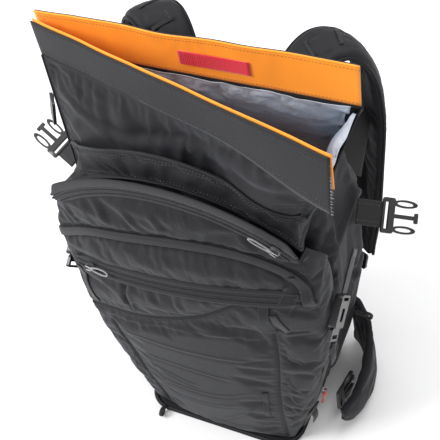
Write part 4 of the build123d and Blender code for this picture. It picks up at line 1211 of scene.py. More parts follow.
# ---------------------------------------------------------------- roll-top collar
collar_box_low, collar_box_high = box("collar_front")
FOOT_Z, HEAD_Z = collar_box_low[2], collar_box_high[2]
FOOT_FRONT, FOOT_BACK = mm(147, -64), mm(147, 66)
FOOT_FRONT_LEFT, FOOT_BACK_LEFT = FOOT_FRONT * (-1, 1), FOOT_BACK * (-1, 1)
rim_low, rim_high = box("front_rim_band")
HEAD_FRONT_LEFT = pivot("mouth_close")[:2] + mm(1, -1)
HEAD_FRONT_RIGHT = np.array([rim_high[0], rim_low[1]]) + mm(-4, 3)
HEAD_BACK_LEFT, HEAD_BACK_RIGHT = mm(-161, -26), mm(206, -21)
HEAD_TUCK = 3 * MM  # how far the panels reach up between the rims


def panel_grid(foot, head, rows, columns):
    """Ruled grid between a line at the foot and one at the head."""
    foot, head = (resample(line, length_of(line) / (columns - 1))[:columns] for line in (foot, head))
    t = np.linspace(0, 1, rows)[:, None, None]
    return (foot[None] * (1 - t) + head[None] * t)[:, ::-1]


def soft_panel(grid, pressure, cap, slack):
    """A panel after its fabric has settled between its four sewn edges."""
    sewn = np.zeros(grid.shape[:2])
    sewn[:2] = sewn[-2:] = 1
    sewn[:, :2] = sewn[:, -2:] = 1
    return finer(cloth_grid(grid, sewn, pressure, cap, slack))


def straight_panel(foot, head, rows, columns, pressure, cap, slack):
    """A collar panel between two points at the foot and two at the head."""
    grid = panel_grid(at_height(foot, FOOT_Z), at_height(head, HEAD_Z + HEAD_TUCK), rows, columns)
    return soft_panel(grid, pressure, cap, slack)


bow = spline(at_height([FOOT_FRONT_LEFT, mm(-80, -83), mm(0, -90), mm(80, -83), FOOT_FRONT], FOOT_Z))
front_head = at_height([HEAD_FRONT_LEFT, HEAD_FRONT_RIGHT], HEAD_Z + HEAD_TUCK)
front_panel = soft_panel(panel_grid(bow, front_head, 36, 72), 0.9, 9 * MM, 0.03)
collar = grid_object(front_panel)
collar_skin = skin_of(collar)
COLLAR_FOLDS = (  # line, depth in millimetres, width, shade
    ([(-150, 630), (-120, 604), (-60, 588), (10, 606), (90, 622), (180, 618)], 2.6, 9, -0.55),
    ([(-152, 616), (-110, 592), (-60, 574), (0, 586), (60, 606)], -2.4, 9, 0.35),
    ([(-140, 636), (-128, 618), (-110, 606)], -2.0, 5, 0.4),
    ([(-122, 638), (-106, 618), (-86, 610)], 1.8, 5, -0.4),
    ([(-100, 638), (-84, 622), (-62, 616)], -1.8, 5, 0.35),
    ([(-76, 638), (-60, 626), (-40, 622)], 1.4, 5, -0.3),
    ([(40, 636), (90, 604), (140, 590), (182, 592)], -2.0, 10, 0.3),
    ([(20, 568), (70, 584), (120, 578), (168, 566)], 1.8, 9, -0.3),
    ([(-140, 560), (-112, 578), (-70, 596)], 1.6, 8, -0.25),
    ([(-146, 530), (-130, 556), (-118, 584)], -1.6, 7, 0.25),
    ([(150, 500), (160, 540), (182, 590)], 1.8, 6, -0.35),
)
for pairs, depth, width, shade in COLLAR_FOLDS:
    line = smooth_path(lay(collar_skin, front_path(pairs), FRONT)[0], 3)
    crease(collar, line, depth * MM, width * MM, shade, ends=30 * MM)
front_panel = coords(collar.data).reshape(front_panel.shape)
collar_front = skinned("collar_front_cloth", collar, front_panel.shape[:2], COLLAR_THICK)
back_grid = straight_panel([FOOT_BACK, FOOT_BACK_LEFT], [HEAD_BACK_RIGHT, HEAD_BACK_LEFT],
                           32, 64, -1.0, 8 * MM, 0.03)
right_grid = straight_panel([FOOT_FRONT, FOOT_BACK], [HEAD_FRONT_RIGHT, HEAD_BACK_RIGHT],
                            32, 26, -0.8, 9 * MM, 0.05)
left_grid = straight_panel([FOOT_BACK_LEFT, FOOT_FRONT_LEFT], [HEAD_BACK_LEFT, HEAD_FRONT_LEFT],
                           32, 22, 0.6, 6 * MM, 0.03)

# The right gusset's top edge sags between the ends of the two rims.
sag = np.sin(np.linspace(0, math.pi, right_grid.shape[1]))
rise = np.linspace(0, 1, right_grid.shape[0]) ** 3
right_grid -= mm(6, 0, 15) * (rise[:, None] * sag[None])[..., None]


def hang(obj, side):
    """Bakes the transform of a front or right collar piece into its mesh, and rides any other piece on the
    bag.
    """
    if side == "front":
        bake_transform(obj)
    elif side == "right":
        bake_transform(obj)
    else:
        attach(obj, "bag")


def lining_of(grid, seed):
    """The crinkled lining just inside a collar panel."""
    normal = grid_normals(grid)
    ripple = np.abs(wrinkle_noise(grid.reshape(-1, 3), 30, seed)).reshape(grid.shape[:2])
    fine = wrinkle_noise(grid.reshape(-1, 3), 75, seed + 1).reshape(grid.shape[:2])
    inside = grid - normal * (2.6 * MM + ripple[..., None] * 3.4 * MM + fine[..., None] * 0.7 * MM)
    return inside[::-1, 4:-4]


for side, grid, material, node in (
    ("front", front_panel, SHELL, "collar_front"), ("back", back_grid, PADDING, "collar_back"),
    ("right", right_grid, SIDE, "gusset_right"), ("left", left_grid, SIDE, "gusset_left"),
):
    outer = collar_front if side == "front" else sheet(f"collar_{side}_cloth", grid, COLLAR_THICK)
    inner = sheet(f"collar_{side}_lining", lining_of(grid, len(side)), LINING_THICK)
    for piece, cloth, slot in ((outer, material, "shell_fabric"), (inner, LINING, "lining_fabric")):
        hang(painted(piece, cloth), side)
    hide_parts(node)

# Seams up the collar's corners and round its foot.
for label, low, high in (("front_left", FOOT_FRONT_LEFT, HEAD_FRONT_LEFT),
                         ("front_right", FOOT_FRONT, HEAD_FRONT_RIGHT),
                         ("back_left", FOOT_BACK_LEFT, HEAD_BACK_LEFT),
                         ("back_right", FOOT_BACK, HEAD_BACK_RIGHT)):
    seam = resample(np.vstack([at_height([low], FOOT_Z), at_height([high], HEAD_Z + 2 * MM)]), 4 * MM)
    seam_cord = painted(cord(f"collar_seam_{label}", seam, 1.5 * MM, 8), BAND)
    hang(seam_cord, label.split("_")[0])
foot_ring = np.vstack([bow[::-1], at_height([FOOT_BACK_LEFT, FOOT_BACK], FOOT_Z)])
foot_ring = resample(np.vstack([foot_ring, foot_ring[:1]]), 4 * MM)[:-1]
finish_piece(painted(cord("collar_foot_seam", foot_ring, 2.0 * MM, 8, closed=True), BAND), "shell_fabric")


# ---------------------------------------------------------------- rims of the mouth
def rim_strip(name, node, thickness, wave, seed, material, low_grow=0.0, high_grow=0.0, rows=(), outward=-1,
              flare=0.0):
    """An upright strip of sewn cloth along the mouth, in place of a CAD strip.

    outward is 1 if its outer side faces the back. rows are the heights of its stitches above its lower edge.
    """
    low, high = box(node)
    points = coords(nodes[node].data)
    left = points[points[:, 0] < low[0] + 4 * MM][:, :2].mean(0)
    right = points[points[:, 0] > high[0] - 4 * MM][:, :2].mean(0)
    along = unit(right - left)
    normal = np.array([-along[1], along[0]]) * outward
    columns = int(np.linalg.norm(right - left) / (4 * MM))
    t = np.linspace(0, 1, columns)
    rows_z = np.linspace(low[2] - low_grow, high[2] + high_grow, 16)
    grid = np.zeros((len(rows_z), columns, 3))
    for i, z in enumerate(rows_z):
        share = i / (len(rows_z) - 1)
        grid[i, :, :2] = left + (right - left) * t[:, None]
        hanging = flare * smoothstep((t - 0.6) / 0.4)
        grid[i, :, 2] = z - hanging * (1 - share)
        grid[i, :, 1] -= hanging * 0.3 * (1 - share)
        steady = grid[i] * (1, 0, 0.6)
        drift = wrinkle_noise(steady, 16, seed) * wave * (0.35 + 0.65 * share)
        grid[i, :, :2] += normal * thickness / 2 + normal * outward * drift[:, None]
        grid[i, :, 2] += wrinkle_noise(steady * (1, 0, 0), 11, seed + 3) * wave * 0.9 * share
    grid = grid if outward > 0 else grid[:, ::-1]
    parts = [painted(sheet(name, grid, thickness), material)]
    for row_z in rows:
        i = row_z / (rows_z[-1] - rows_z[0]) * (len(rows_z) - 1)
        i0 = min(int(i), len(rows_z) - 2)
        line = grid[i0] * (1 - (i - i0)) + grid[i0 + 1] * (i - i0)
        normals = np.broadcast_to(np.append(normal, 0), line.shape)
        parts.append(stitches(line + normals * 0.15 * MM, normals))
    return joined(name, parts), grid


BAND_THICK, FACING_THICK = 1.6 * MM, 1.2 * MM
FRONT_WAVE, BACK_WAVE = (2.4 * MM, 1), (2.8 * MM, 9)  # height and seed of the waves, shared by both layers
front_band, front_band_grid = rim_strip("front_rim_cloth", "front_rim_band", BAND_THICK, *FRONT_WAVE, RIM,
                                        low_grow=2 * MM, rows=(5 * MM, 8 * MM, 44 * MM), flare=24 * MM)
front_facing, front_facing_grid = rim_strip("front_rim_inner", "front_rim_facing", FACING_THICK, *FRONT_WAVE,
                                            ORANGE, high_grow=0.4 * MM, rows=(5 * MM, 43 * MM), outward=1)
back_facing, back_facing_grid = rim_strip("back_rim_inner", "back_rim_facing", FACING_THICK, *BACK_WAVE,
                                          ORANGE, rows=(4 * MM, 49 * MM))
back_band, _ = rim_strip("back_rim_cloth", "back_rim_band", BAND_THICK, *BACK_WAVE, RIM,
                         rows=(5 * MM, 8 * MM, 49 * MM), outward=1)
finish_piece(front_band, "rim_fabric", "front_rim_band", body="front_rim")
finish_piece(front_facing, "orange_facing", "front_rim_facing", body="front_rim")
finish_piece(back_facing, "orange_facing", "back_rim_facing")
finish_piece(back_band, "rim_fabric", "back_rim_band")
for label, grid, body, radius in (("front", front_facing_grid, "front_rim", 0.8),
                                  ("back", back_facing_grid, "bag", 1.2)):
    edge = sweep(f"{label}_rim_edge", smooth_path(grid[-1], 2), circle(radius * MM, 8), (0, 0, 1))
    finish_piece(painted(edge, ORANGE), "orange_facing", body=body)
STRANDS = 44
frayed = []
band_end = front_band_grid[:12, 0]  # the band's end below its top hem
for k in range(STRANDS):
    i = (k * 7) % (len(band_end) - 1)
    start = band_end[i] + (band_end[i + 1] - band_end[i]) * ((k * 0.37) % 1)
    swing = noise.noise_vector(Vector((k * 1.7, 4.1, 0.3)))
    tip = start + mm(3.2, -0.6, 0) * (0.5 + abs(swing[0])) + mm(swing[1], swing[2], swing[0]) * 2.2
    strand = cord("strand", [start, (start + tip) / 2 + mm(0, 0, swing[2]), tip], 0.22 * MM, 5)
    frayed.append(painted(strand, WEB_GREY))
finish_piece(joined("front_rim_frayed_edge", frayed), "rim_fabric", body="front_rim")

# The hook patch, with a pile of small pyramids on its front.
patch, _ = rim_strip("hook_fastener", "hook_patch", FACING_THICK, 0.0, 9, HOOK)
patch_low, patch_high = box("hook_patch")
TUFT_COLUMNS, TUFT_ROWS = 38, 9
verts, faces = [], []
for column in range(TUFT_COLUMNS):
    for row in range(TUFT_ROWS):
        share = np.array([column + 0.5, column + 0.5, row + 0.5]) / (TUFT_COLUMNS, TUFT_COLUMNS, TUFT_ROWS)
        centre = patch_low + (patch_high - patch_low) * share - mm(0, 0.3, 0)
        faces += [tuple(len(verts) + i for i in face)
                  for face in ((0, 1, 4), (1, 2, 4), (2, 3, 4), (3, 0, 4), (0, 3, 2, 1))]
        verts += [centre + mm(0.9 * sx, 0, 0.5 * sz) for sx, sz in ((-1, -1), (1, -1), (1, 1), (-1, 1))]
        verts.append(centre - mm(0, 1.3, 0))
pile = painted(make_object("hook_pile", verts, faces, smooth=False), HOOK)
finish_piece(joined("hook_fastener", [patch, pile]), "hook_tape", "hook_patch")

# ---------------------------------------------------------------- top band across the collar
BAND_HEIGHT = 38 * MM
band_low, band_high = box("top_band")
band_crown = band_high[2] - BAND_HEIGHT
gussets = [bpy.data.objects[f"collar_{side}_cloth"] for side in ("left", "right")]
behind_tree = skin_of(collar_front, main_shell, *gussets)
ROOF_SPAN, ROOF_RISE, ROOF_TOP = 172 * MM, 74 * MM, 546 * MM
ROOF_RADIUS = (ROOF_SPAN**2 + ROOF_RISE**2) / (2 * ROOF_RISE)


def roof_height(x):
    """Height of the upper pocket's arched roof."""
    return ROOF_TOP - ROOF_RADIUS + math.sqrt(ROOF_RADIUS**2 - x * x)


lower_edge, upper_edge = [], []
for x in np.linspace(-150 * MM, 156 * MM, 96):
    share = abs(x) / band_high[0]
    to_side = smoothstep((abs(x) - 60 * MM) / (85 * MM))
    lower_edge.append((x * 1.03, -103.5 * MM, roof_height(x * 1.03) - 2.5 * MM))
    high_z = band_crown - (band_crown - band_low[2]) * share**2 - 6 * MM * to_side + BAND_HEIGHT
    hit = behind_tree.ray_cast(Vector((x, -0.3, high_z)), Vector(FRONT))[0]
    against = (hit.y if hit else bag_low[1]) - 3 * MM
    front_y = min(band_low[1] + 4 * MM * share**2, against)
    upper_edge.append((x, against * to_side + front_y * (1 - to_side), high_z))
for side in (1, -1):
    for y in (-84, -68, -52, -36):
        for edge, height in ((lower_edge, roof_height(162 * MM) - (y + 100) * 0.10 * MM - 4 * MM),
                             (upper_edge, upper_edge[0][2] - (y + 84) * 0.10 * MM)):
            hit = behind_tree.ray_cast(Vector((side * BESIDE_PACK, y * MM, height)), Vector((-side, 0, 0)))[0]
            reach = (abs(hit.x) if hit else 150 * MM) + 2.5 * MM
            edge.insert(len(edge) if side > 0 else 0, (side * reach, y * MM, height))
steps = np.linspace(0, 1, 112)
edges = []
for edge in (lower_edge, upper_edge):
    edge = smooth_path(resample(edge, 3 * MM), 8)
    edges.append(np.stack([np.interp(steps, np.linspace(0, 1, len(edge)), edge[:, k]) for k in range(3)], 1))
t = np.linspace(0, 1, 14)[:, None, None]
band_grid = soft_panel((edges[0][None] * (1 - t) + edges[1][None] * t)[:, ::-1], 1.5, 3 * MM, 0.03)
band_normal = grid_normals(band_grid)
parts = [painted(sheet("top_band_cloth", band_grid, 1.8 * MM), BAND)]
parts += [stitches(band_grid[i] + band_normal[i] * 0.3 * MM, band_normal[i]) for i in (3, 5, -4, -6)]
for i, radius in ((0, 1.5), (-1, 1.3)):
    line = band_grid[i] - band_normal[i] * 0.7 * MM
    parts.append(painted(sweep("band_edge", line, circle(radius * MM, 8), band_normal[i]), WELT))
finish_piece(joined("top_band_cloth", parts), "shell_fabric", "top_band")
# ---------------------------------------------------------------- cushions: back pad and shoulder pads
def cushion(name, node, voxel):
    """The form of a CAD node in even quads, with its points and their normals."""
    obj = remesh(cad_form(name, node), voxel)
    return obj, coords(obj.data), vertex_normals(obj.data)


def billow(obj, pressure, cap, slack, smoothing, sewn=None):
    """Lets a cushion's fabric settle, then smooths and refines it."""
    simulate(obj, pressure, cap, slack, sewn)
    relax(obj, smoothing)
    subdivide(obj)


def press(obj, points, direction, depth, width, shade, ends):
    """Presses a smooth line through points into a cushion, or raises it, with painted shading along it that
    shade sets. Sizes are in millimetres.
    """
    line, _ = lay(skin_of(obj), spline(points), direction)
    crease(obj, line, depth * MM, width * MM, shade, [-d for d in direction], ends * MM)


back_pad, points, _ = cushion("back_pad_cushions", "back_pad", 4.5 * MM)
pad_low, pad_high = points.min(0), points.max(0)
billow(back_pad, 2.5, 4.5 * MM, 0.03, 2, smoothstep((pad_low[1] + 7 * MM - points[:, 1]) / (3 * MM)))
for x in (-58, 58):
    for z in (205, 290, 375):
        channel = [mm(x - 33, 200, z), mm(x, 200, z + 3), mm(x + 33, 200, z)]
        press(back_pad, channel, FACING, 2.6, 3.2, -0.7, 12)
for x in (-48, 0, 48):
    press(back_pad, [mm(x, 200, 46), mm(x, 200, 118)], FACING, 2.4, 3.2, -0.7, 12)
finish_piece(painted(back_pad, MESH), "padding", "back_pad")
ring = resample(round_ring(pad_high[0] - pad_low[0], pad_high[2] - pad_low[2], PANEL_CORNER), 4 * MM)[:-1]
ring = at_height(ring, pad_low[1] + 3 * MM)[:, (0, 2, 1)] + (0, 0, (pad_high[2] + pad_low[2]) / 2)
finish_piece(painted(cord("back_pad_binding", ring, 3.0 * MM, 10, closed=True), DARK), "rim_fabric")

STRAP_PATH = (  # middle of the right strap in millimetres, and the direction that its width lies in
    ((76, 98, 492), (1.0, 0.0)), ((84, 108, 532), (0.96, -0.2)), ((104, 124, 562), (0.85, -0.5)),
    ((130, 140, 560), (0.75, -0.66)), ((148, 150, 520), (0.75, -0.66)), ((154, 152, 450), (0.8, -0.6)),
    ((152, 148, 360), (0.8, -0.6)), ((147, 139, 270), (0.85, -0.5)), ((142, 124, 186), (0.9, -0.4)),
)
PAD_WIDTH, PAD_THICK = 62 * MM, 13 * MM
both = spline([(*mm(*point), across[0] * 0.01, across[1] * 0.01, 0.0) for point, across in STRAP_PATH],
              4 * MM)
pad_path, pad_across = both[:, :3], unit(both[:, 3:])
pad_along = tangents(pad_path)
pad_across = unit(pad_across - pad_along * np.sum(pad_across * pad_along, axis=1, keepdims=True))
pad_up = unit(np.cross(pad_along, pad_across))
if pad_up[len(pad_up) // 2][1] < 0:
    pad_up = -pad_up
share = np.linspace(0, 1, len(pad_path))
taper = 1 - 0.16 * smoothstep((share - 0.82) / 0.18) - 0.06 * smoothstep((0.1 - share) / 0.1)
outline = slab(1.0, 0.16, 0.05, 9)
pad_outline = np.stack([outline[None, :, 0] * PAD_WIDTH * taper[:, None],
                        outline[None, :, 1] / 0.16 * PAD_THICK * np.ones((len(pad_path), 1))], axis=2)
shoulder_pad = sweep("shoulder_pad_right_cushion", pad_path, pad_outline, pad_up)
_, index, offset = nearest(coords(shoulder_pad.data), pad_path)
beside = np.abs(np.sum(offset * pad_across[index], axis=1))
sewn = smoothstep((beside - PAD_WIDTH * 0.36) / (4 * MM))
sewn[(index < 3) | (index > len(pad_path) - 4)] = 1
billow(shoulder_pad, 2.2, 3.5 * MM, 0.02, 0, sewn)
line = pad_path[14:-18] + pad_up[14:-18] * PAD_THICK / 2
for shift in (-17, 17):
    crease(shoulder_pad, line + pad_across[14:-18] * shift * MM, 1.8 * MM, 2.2 * MM, -0.8, ends=14 * MM)
for material in (STRAP_FACE, MESH):
    shoulder_pad.data.materials.append(material)
_, index, _ = nearest(coords(shoulder_pad.data), pad_path)
inner = np.sum(vertex_normals(shoulder_pad.data) * pad_up[index], axis=1) < -0.35
for polygon in shoulder_pad.data.polygons:
    polygon.material_index = 1 if all(inner[v] for v in polygon.vertices) else 0
strap_parts = [shoulder_pad]
for side in (-1, 1):
    edge = pad_path + pad_across * side * (PAD_WIDTH / 2 * taper[:, None] - 0.8 * MM)
    inside = edge - pad_across * side * 4 * MM + pad_up * (PAD_THICK / 2 - 1.2 * MM)
    strap_parts.append(painted(sweep("pad_binding", edge, circle(2.3 * MM, 8), pad_up), DARK))
    strap_parts.append(stitches(inside, pad_up))
top_face = pad_path + pad_up * (PAD_THICK / 2 + 2.4 * MM)
webbing = sweep("pad_webbing", top_face[8:], slab(24 * MM, 1.6 * MM, 0.3 * MM), pad_up[8:])
strap_parts.append(painted(webbing, WEB))
for side in (-1, 1):
    line = top_face[9:-1] + pad_across[9:-1] * side * 10 * MM + pad_up[9:-1] * 0.9 * MM
    strap_parts.append(stitches(line, pad_up[9:-1]))
for k in range(12, len(pad_path) - 8, 7):
    arch = [top_face[k] + pad_across[k] * x * MM + pad_up[k] * (1.6 + 1.6 * (1 - (x / 15) ** 2)) * MM
            for x in np.linspace(-15, 15, 11)]
    strap_parts.append(painted(sweep("pad_loop", arch, slab(5 * MM, 1.3 * MM), pad_up[k]), WEB))
right_strap = joined("shoulder_pad_right_cushion", strap_parts)
left_strap = mirrored(right_strap, "shoulder_pad_left_cushion")
finish_piece(right_strap, "padding", "shoulder_pad_right", body="shoulder_right")
finish_piece(left_strap, "padding", "shoulder_pad_left", body="shoulder_left")

# ---------------------------------------------------------------- yoke, haul loop and lower webbing
yoke_low, yoke_high = box("shoulder_yoke")
_, yoke_y, yoke_z = (yoke_low + yoke_high) / 2
yoke = sweep("yoke_webbing", resample([(x, yoke_y, yoke_z) for x in (yoke_low[0], yoke_high[0])], 3 * MM),
             slab(yoke_high[2] - yoke_low[2], 3.6 * MM, 0.4 * MM), (0, 1, 0))
rows = [stitches(resample([(x, yoke_high[1] + 0.4 * MM, yoke_z + dz * MM)
                           for x in (yoke_low[0] + 4 * MM, yoke_high[0] - 4 * MM)], 4 * MM), (0, 1, 0))
        for dz in (-6.5, 0, 6.5)]
finish_piece(joined("shoulder_yoke_webbing", [painted(yoke, WEB), *rows]), "webbing", "shoulder_yoke")

haul_low, haul_high = box("haul_loop")
haul_y = (haul_low[1] + haul_high[1]) / 2
half = (haul_high[0] - haul_low[0]) / 2 - 1.6 * MM
foot_z, top_z = haul_low[2], haul_high[2]
HAUL = ((-1, foot_z + 0.5 * MM, (-1, 0, 0)), (-1, foot_z + 14 * MM, (-1, 0, 0.1)),
        (-0.72, top_z - 12 * MM, (-0.7, 0, 0.7)), (0, top_z - 2 * MM, (0, 0, 1)),
        (0.72, top_z - 12 * MM, (0.7, 0, 0.7)), (1, foot_z + 14 * MM, (1, 0, 0.1)),
        (1, foot_z + 0.5 * MM, (1, 0, 0)))  # share of the half width, height, outer side
haul = strap("haul_webbing", [(half * share, haul_y, z) for share, z, _ in HAUL], haul_high[1] - haul_low[1],
             [up for _, _, up in HAUL], thickness=2.6 * MM)
finish_piece(painted(haul, WEB), "webbing", "haul_loop", body="haul_loop")


def straight_web(node, side=0, slack=0.0):
    """Webbing in place of a straight CAD strap, with slack for its sag."""
    middle, along, _, normal, size = strap_box(node, side)
    line = [middle + along * size[0] * k + normal * slack * (1 - 4 * k * k)
            for k in np.linspace(-0.5, 0.5, 5)]
    return painted(strap("web", line, size[1], normal, thickness=WEB_THICK), WEB)


webs = [straight_web("lower_webbing", side, 0.8 * MM) for side in (1, -1)]
finish_piece(joined("lower_strap_webbing", webs), "webbing", "lower_webbing")

webs = []
for side in (1, -1):
    webs.append(straight_web("compression_straps", side))
    middle, along, across, normal, size = strap_box("compression_straps", side)
    back_end = middle + along * np.sign(along[1]) * (size[0] / 2 - 6 * MM)
    out = normal * np.sign(normal[0]) * side
    webs.append(painted(bar_tack(back_end, across, along, out, 7 * MM, size[1] - 5 * MM), THREAD))
finish_piece(joined("compression_webbing", webs), "webbing", "compression_straps")

for label, side in (("left", -1), ("right", 1)):
    node = f"closure_strap_{label}"
    middle, along, across, normal, size = strap_box(node)
    along = along * np.sign(along[0]) * side
    parts = [straight_web(node)]
    for shift in (-0.32, 0.32):
        for face in (-1, 1):
            line = [middle + along * size[0] * k + across * size[1] * shift + normal * face * 1.1 * MM
                    for k in (-0.45, 0.0, 0.45)]
            parts.append(stitches(resample(line, 3 * MM), normal * face))
    finish_piece(joined(f"closure_webbing_{label}", parts), "webbing", node, body=f"closure_{label}")

# ---------------------------------------------------------------- sternum strap halves and hip wings
for label, side in (("right", 1), ("left", -1)):
    node = f"sternum_half_{label}"
    form = cad_form(f"sternum_slider_{label}", node)
    soften(form, 0.45 * MM, WELD_GAP)
    finish_piece(painted(bake(form), WEB), "webbing", node, body=f"sternum_{label}")

for label, side in (("right", 1), ("left", -1)):
    node = f"hip_wing_{label}"
    wing, points, normal = cushion(f"{node}_cushion", node, 4 * MM)
    foot = points[:, 2].min()
    sewn = smoothstep((np.abs(normal[:, 2]) - 0.3) / 0.4)
    sewn = np.maximum(sewn, smoothstep((foot + 9 * MM - points[:, 2]) / (5 * MM)))
    billow(wing, 2.6, 4.0 * MM, 0.03, 2, sewn)
    for back_z, front_z in ((46, 30), (78, 52)):
        line = [mm(side * 230, y, back_z + (front_z - back_z) * (70 - y) / 120) for y in (84, 40, 0, -40)]
        press(wing, line, (-side, 0, 0), 2.2, 3.0, -0.7, 18)
    for y, z in ((60, 95), (10, 84), (-30, 62)):
        press(wing, [mm(side * 230, y, z), mm(side * 230, y - 9, z - 34)], (-side, 0, 0), -1.8, 6, 0.3, 14)
    finish_piece(painted(wing, PADDING), "padding", node, body=f"hip_{label}")

# ---------------------------------------------------------------- airbag in its pouch
airbag, _, _ = cushion("airbag_folds", "airbag_balloon", 4.5 * MM)
billow(airbag, 2.0, 3 * MM, 0.06, 1)
airbag_low, airbag_high = box("airbag_balloon")
for k, z in enumerate(np.linspace(airbag_low[2] + 12 * MM, airbag_high[2] - 12 * MM, 5)):
    line = [(x, airbag_low[1] - 20 * MM, z + 4 * MM * math.sin(x * 40 + k))
            for x in np.linspace(airbag_low[0] + 4 * MM, airbag_high[0] - 4 * MM, 9)]
    press(airbag, line, FRONT, 2.2, 2.6, -0.6, 12)
finish_piece(painted(airbag, AIRBAG), "airbag_fabric", "airbag_balloon")


# ---------------------------------------------------------------- pull cords
def pull_axes(node, joint):
    """Where a CAD pull starts, the way to its far end, and the directions across it and out of its plane."""
    points = coords(nodes[node].data)
    start = pivot(joint)
    way = points[np.argmax(np.linalg.norm(points - start, axis=1))] - start
    along = unit(way)
    _, _, axes = np.linalg.svd(points - points.mean(0))
    flat = unit(axes[2] - along * np.dot(axes[2], along))
    return start, way, unit(np.cross(flat, along)), flat


# Drop-shaped loops of cord on the front sliders, each with a knot.
for label, wide in (("goggle", 3.2), ("front", 4.0)):
    start, way, across, flat = pull_axes(f"{label}_pull", f"{label}_pull_swing")
    drop = ((0.02, 0.02), (0.2, 0.5), (0.5, 0.95), (0.78, 1.0), (0.93, 0.62), (1.0, 0.0))
    drop += tuple((t, -w) for t, w in drop[-2::-1])
    line = spline([start + way * t + across * wide * MM * w for t, w in drop], 1.2 * MM)
    knot = resample([start + way * 0.16, start + way * 0.28], 1 * MM)
    parts = cord("loop", line, 1.0 * MM, 8), sweep("knot", knot, circle(1.9 * MM, 10), flat)
    piece = joined(f"{label}_cord", [painted(part, GREY_CORD) for part in parts])
    finish_piece(piece, "pull_cord", f"{label}_pull", body=f"{label}_pull")

start, way, across, flat = pull_axes("tool_pull_cords", "tool_pull_swing")
along = unit(way)
strands = []
for k, (a, b) in enumerate(((-1.5, 0.5), (-0.5, -0.7), (0.6, 0.6), (1.6, -0.4))):
    line = []
    for t in np.linspace(0.03, 0.93, 7):
        spread = 0.35 + 1.3 * t + 0.4 * math.sin(t * 5 + k)
        line.append(start + way * (t - 0.06 * abs(a) * t * t)
                    + across * a * spread * 1.2 * MM + flat * b * spread * 0.8 * MM)
    strands.append(cord("strand", spline(line, 1.5 * MM), 1.0 * MM, 8))
    strands.append(cord("tip", [line[-1] - along * 1.5 * MM, line[-1] + along * 0.5 * MM], 1.35 * MM, 8))
for t in (0.18, 0.24):
    ring = [start + way * t + across * math.cos(v) * 3.1 * MM + flat * math.sin(v) * 2.3 * MM
            for v in np.linspace(0, 2 * math.pi, 21)[:-1]]
    strands.append(cord("wrap", ring, 0.9 * MM, 8, closed=True))
finish_piece(joined("tool_cord_bundle", [painted(strand, CORAL) for strand in strands]), "bright_cord",
             "tool_pull_cords", body="tool_pull")

# ---------------------------------------------------------------- straps down the sides and to the pads
shell_skin = skin_of(main_shell)
for side, label in ((-1, "left"), (1, "right")):
    line = []
    for y, z in ((-66, 268), (-74, 225), (-84, 150), (-92, 70), (-96, 24)):
        hits = [tree.ray_cast(Vector((side * BESIDE_PACK, y * MM, z * MM)), Vector((-side, 0, 0)))[0]
                for tree in (pocket_skin, shell_skin)]
        reach = max(abs(hit.x) for hit in hits if hit is not None)
        line.append(np.array((side * (reach + 2.2 * MM), y * MM, z * MM)))
    parts = [painted(strap("side_web", line, 14 * MM, (side, -0.2, 0), thickness=WEB_THICK), WEB)]
    out = unit(np.array([side, -0.2, 0.0]))
    for k in (1, 3):
        at = line[k]
        along = unit(line[k + 1] - at)
        across = unit(np.cross(along, out))
        ring = [at + out * 2.2 * MM + along * 8 * MM * a + across * 10 * MM * b
                for a, b in ((-1, -1), (-1, 1), (1, 1), (1, -1), (-1, -1))]
        bar = [at + out * 2.6 * MM + across * 10 * MM * b for b in (-1, 1)]
        parts.append(painted(cord("buckle", resample(ring, 2 * MM)[:-1], 1.7 * MM, 8, closed=True), BUCKLE))
        parts.append(painted(cord("buckle_bar", resample(bar, 2 * MM), 1.5 * MM, 8), BUCKLE))
        tail = [at + out * lift * MM - mm(0, 0, drop) for lift, drop in ((1.2, 0), (5, 12), (3.4, 30))]
        parts.append(painted(strap("side_tail", tail, 13 * MM, out, thickness=1.5 * MM), WEB))
    finish_piece(joined(f"side_strap_{label}", parts), "webbing")

for side, label in ((1, "right"), (-1, "left")):
    start, end = mm(side * 150, 78, 404), mm(side * 143, 146, 456)
    middle = (start + end) / 2 - mm(0, 0, 5)
    web = strap(f"lifter_{label}", [start, middle, end], 38 * MM, (side * 0.75, -0.6, 0.3), 2.0 * MM)
    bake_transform(painted(web, WEB))

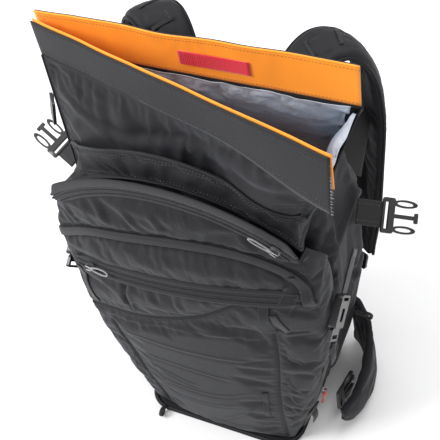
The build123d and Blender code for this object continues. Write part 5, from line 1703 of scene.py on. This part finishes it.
# ---------------------------------------------------------------- hard parts
for material, bevel, kept in (
    (SHEET, 0.4, "frame_sheet"), (SHEET, 0.3, "front_rim_stiffener"), (STAY, 0.3, "frame_stays"),
    (SLIDER, 0.25, "goggle_slider front_slider tool_slider"), (WEB, 0.3, "tool_loops"),
    (BUCKLE, 0.4, "shoulder_lock_left shoulder_lock_right sternum_male sternum_female compression_male_left"
     " compression_male_right compression_housings closure_male_left closure_male_right closure_ladder"),
    (BUCKLE, 0.5, "hip_male hip_female"), (UNIT, 0.4, "inflation_unit"), (CARTRIDGE, 0.4, "gas_cartridge"),
    (PIN, 0.1, "piercing_pin"), (CABLE, 0.0, "trigger_cable"), (TRIGGER_RED, 0.6, "trigger_handle"),
):
    for node in kept.split():
        painted(nodes[node], material)
        if bevel:
            soften(nodes[node], bevel * MM)

# ---------------------------------------------------------------- floor, light and camera
bpy.ops.mesh.primitive_plane_add(size=12.0, location=(0.0, 0.0, cad_bounds[0][2] - 1 * MM))
floor = bpy.context.object
floor.name = "floor"
floor.data.materials.append(FLOOR.material)

world = bpy.data.worlds.new("studio")
scene.world = world
world.use_nodes = True
world.node_tree.nodes["Background"].inputs["Color"].default_value = (1.0, 1.0, 1.0, 1.0)
world.node_tree.nodes["Background"].inputs["Strength"].default_value = 0.75


def softbox(name, place, target, size, power):
    """A large square area light that looks at target."""
    light = bpy.data.lights.new(name, "AREA")
    light.shape = "SQUARE"
    light.size = size
    light.energy = power
    obj = linked(name, light)
    obj.location = place
    obj.rotation_euler = (Vector(target) - Vector(place)).to_track_quat("-Z", "Y").to_euler()


CENTRE = Vector((-0.004, 0.0, 0.347))
softbox("key", (-1.7, -1.2, 2.2), CENTRE, 1.2, 75)
softbox("fill", (1.9, -1.2, 1.3), CENTRE, 1.6, 8)
softbox("top", (0.2, 0.7, 2.6), CENTRE, 1.4, 34)

AZIMUTH, ELEVATION, ROLL = (math.radians(v) for v in (33.1, 51.7, -12.9))
DISTANCE = 1.313
towards = Vector((math.sin(AZIMUTH) * math.cos(ELEVATION), -math.cos(AZIMUTH) * math.cos(ELEVATION),
                  math.sin(ELEVATION)))
camera_data = bpy.data.cameras.new("camera")
camera_data.lens = 81.9
camera_data.sensor_width = 36
camera = linked("camera", camera_data)
camera.location = CENTRE + towards * DISTANCE
level = (-towards).to_track_quat("-Z", "Y").to_matrix().to_4x4()
camera.matrix_world = Matrix.Translation(camera.location) @ level @ Matrix.Rotation(ROLL, 4, "Z")
scene.camera = camera
scene.view_settings.view_transform = "Standard"
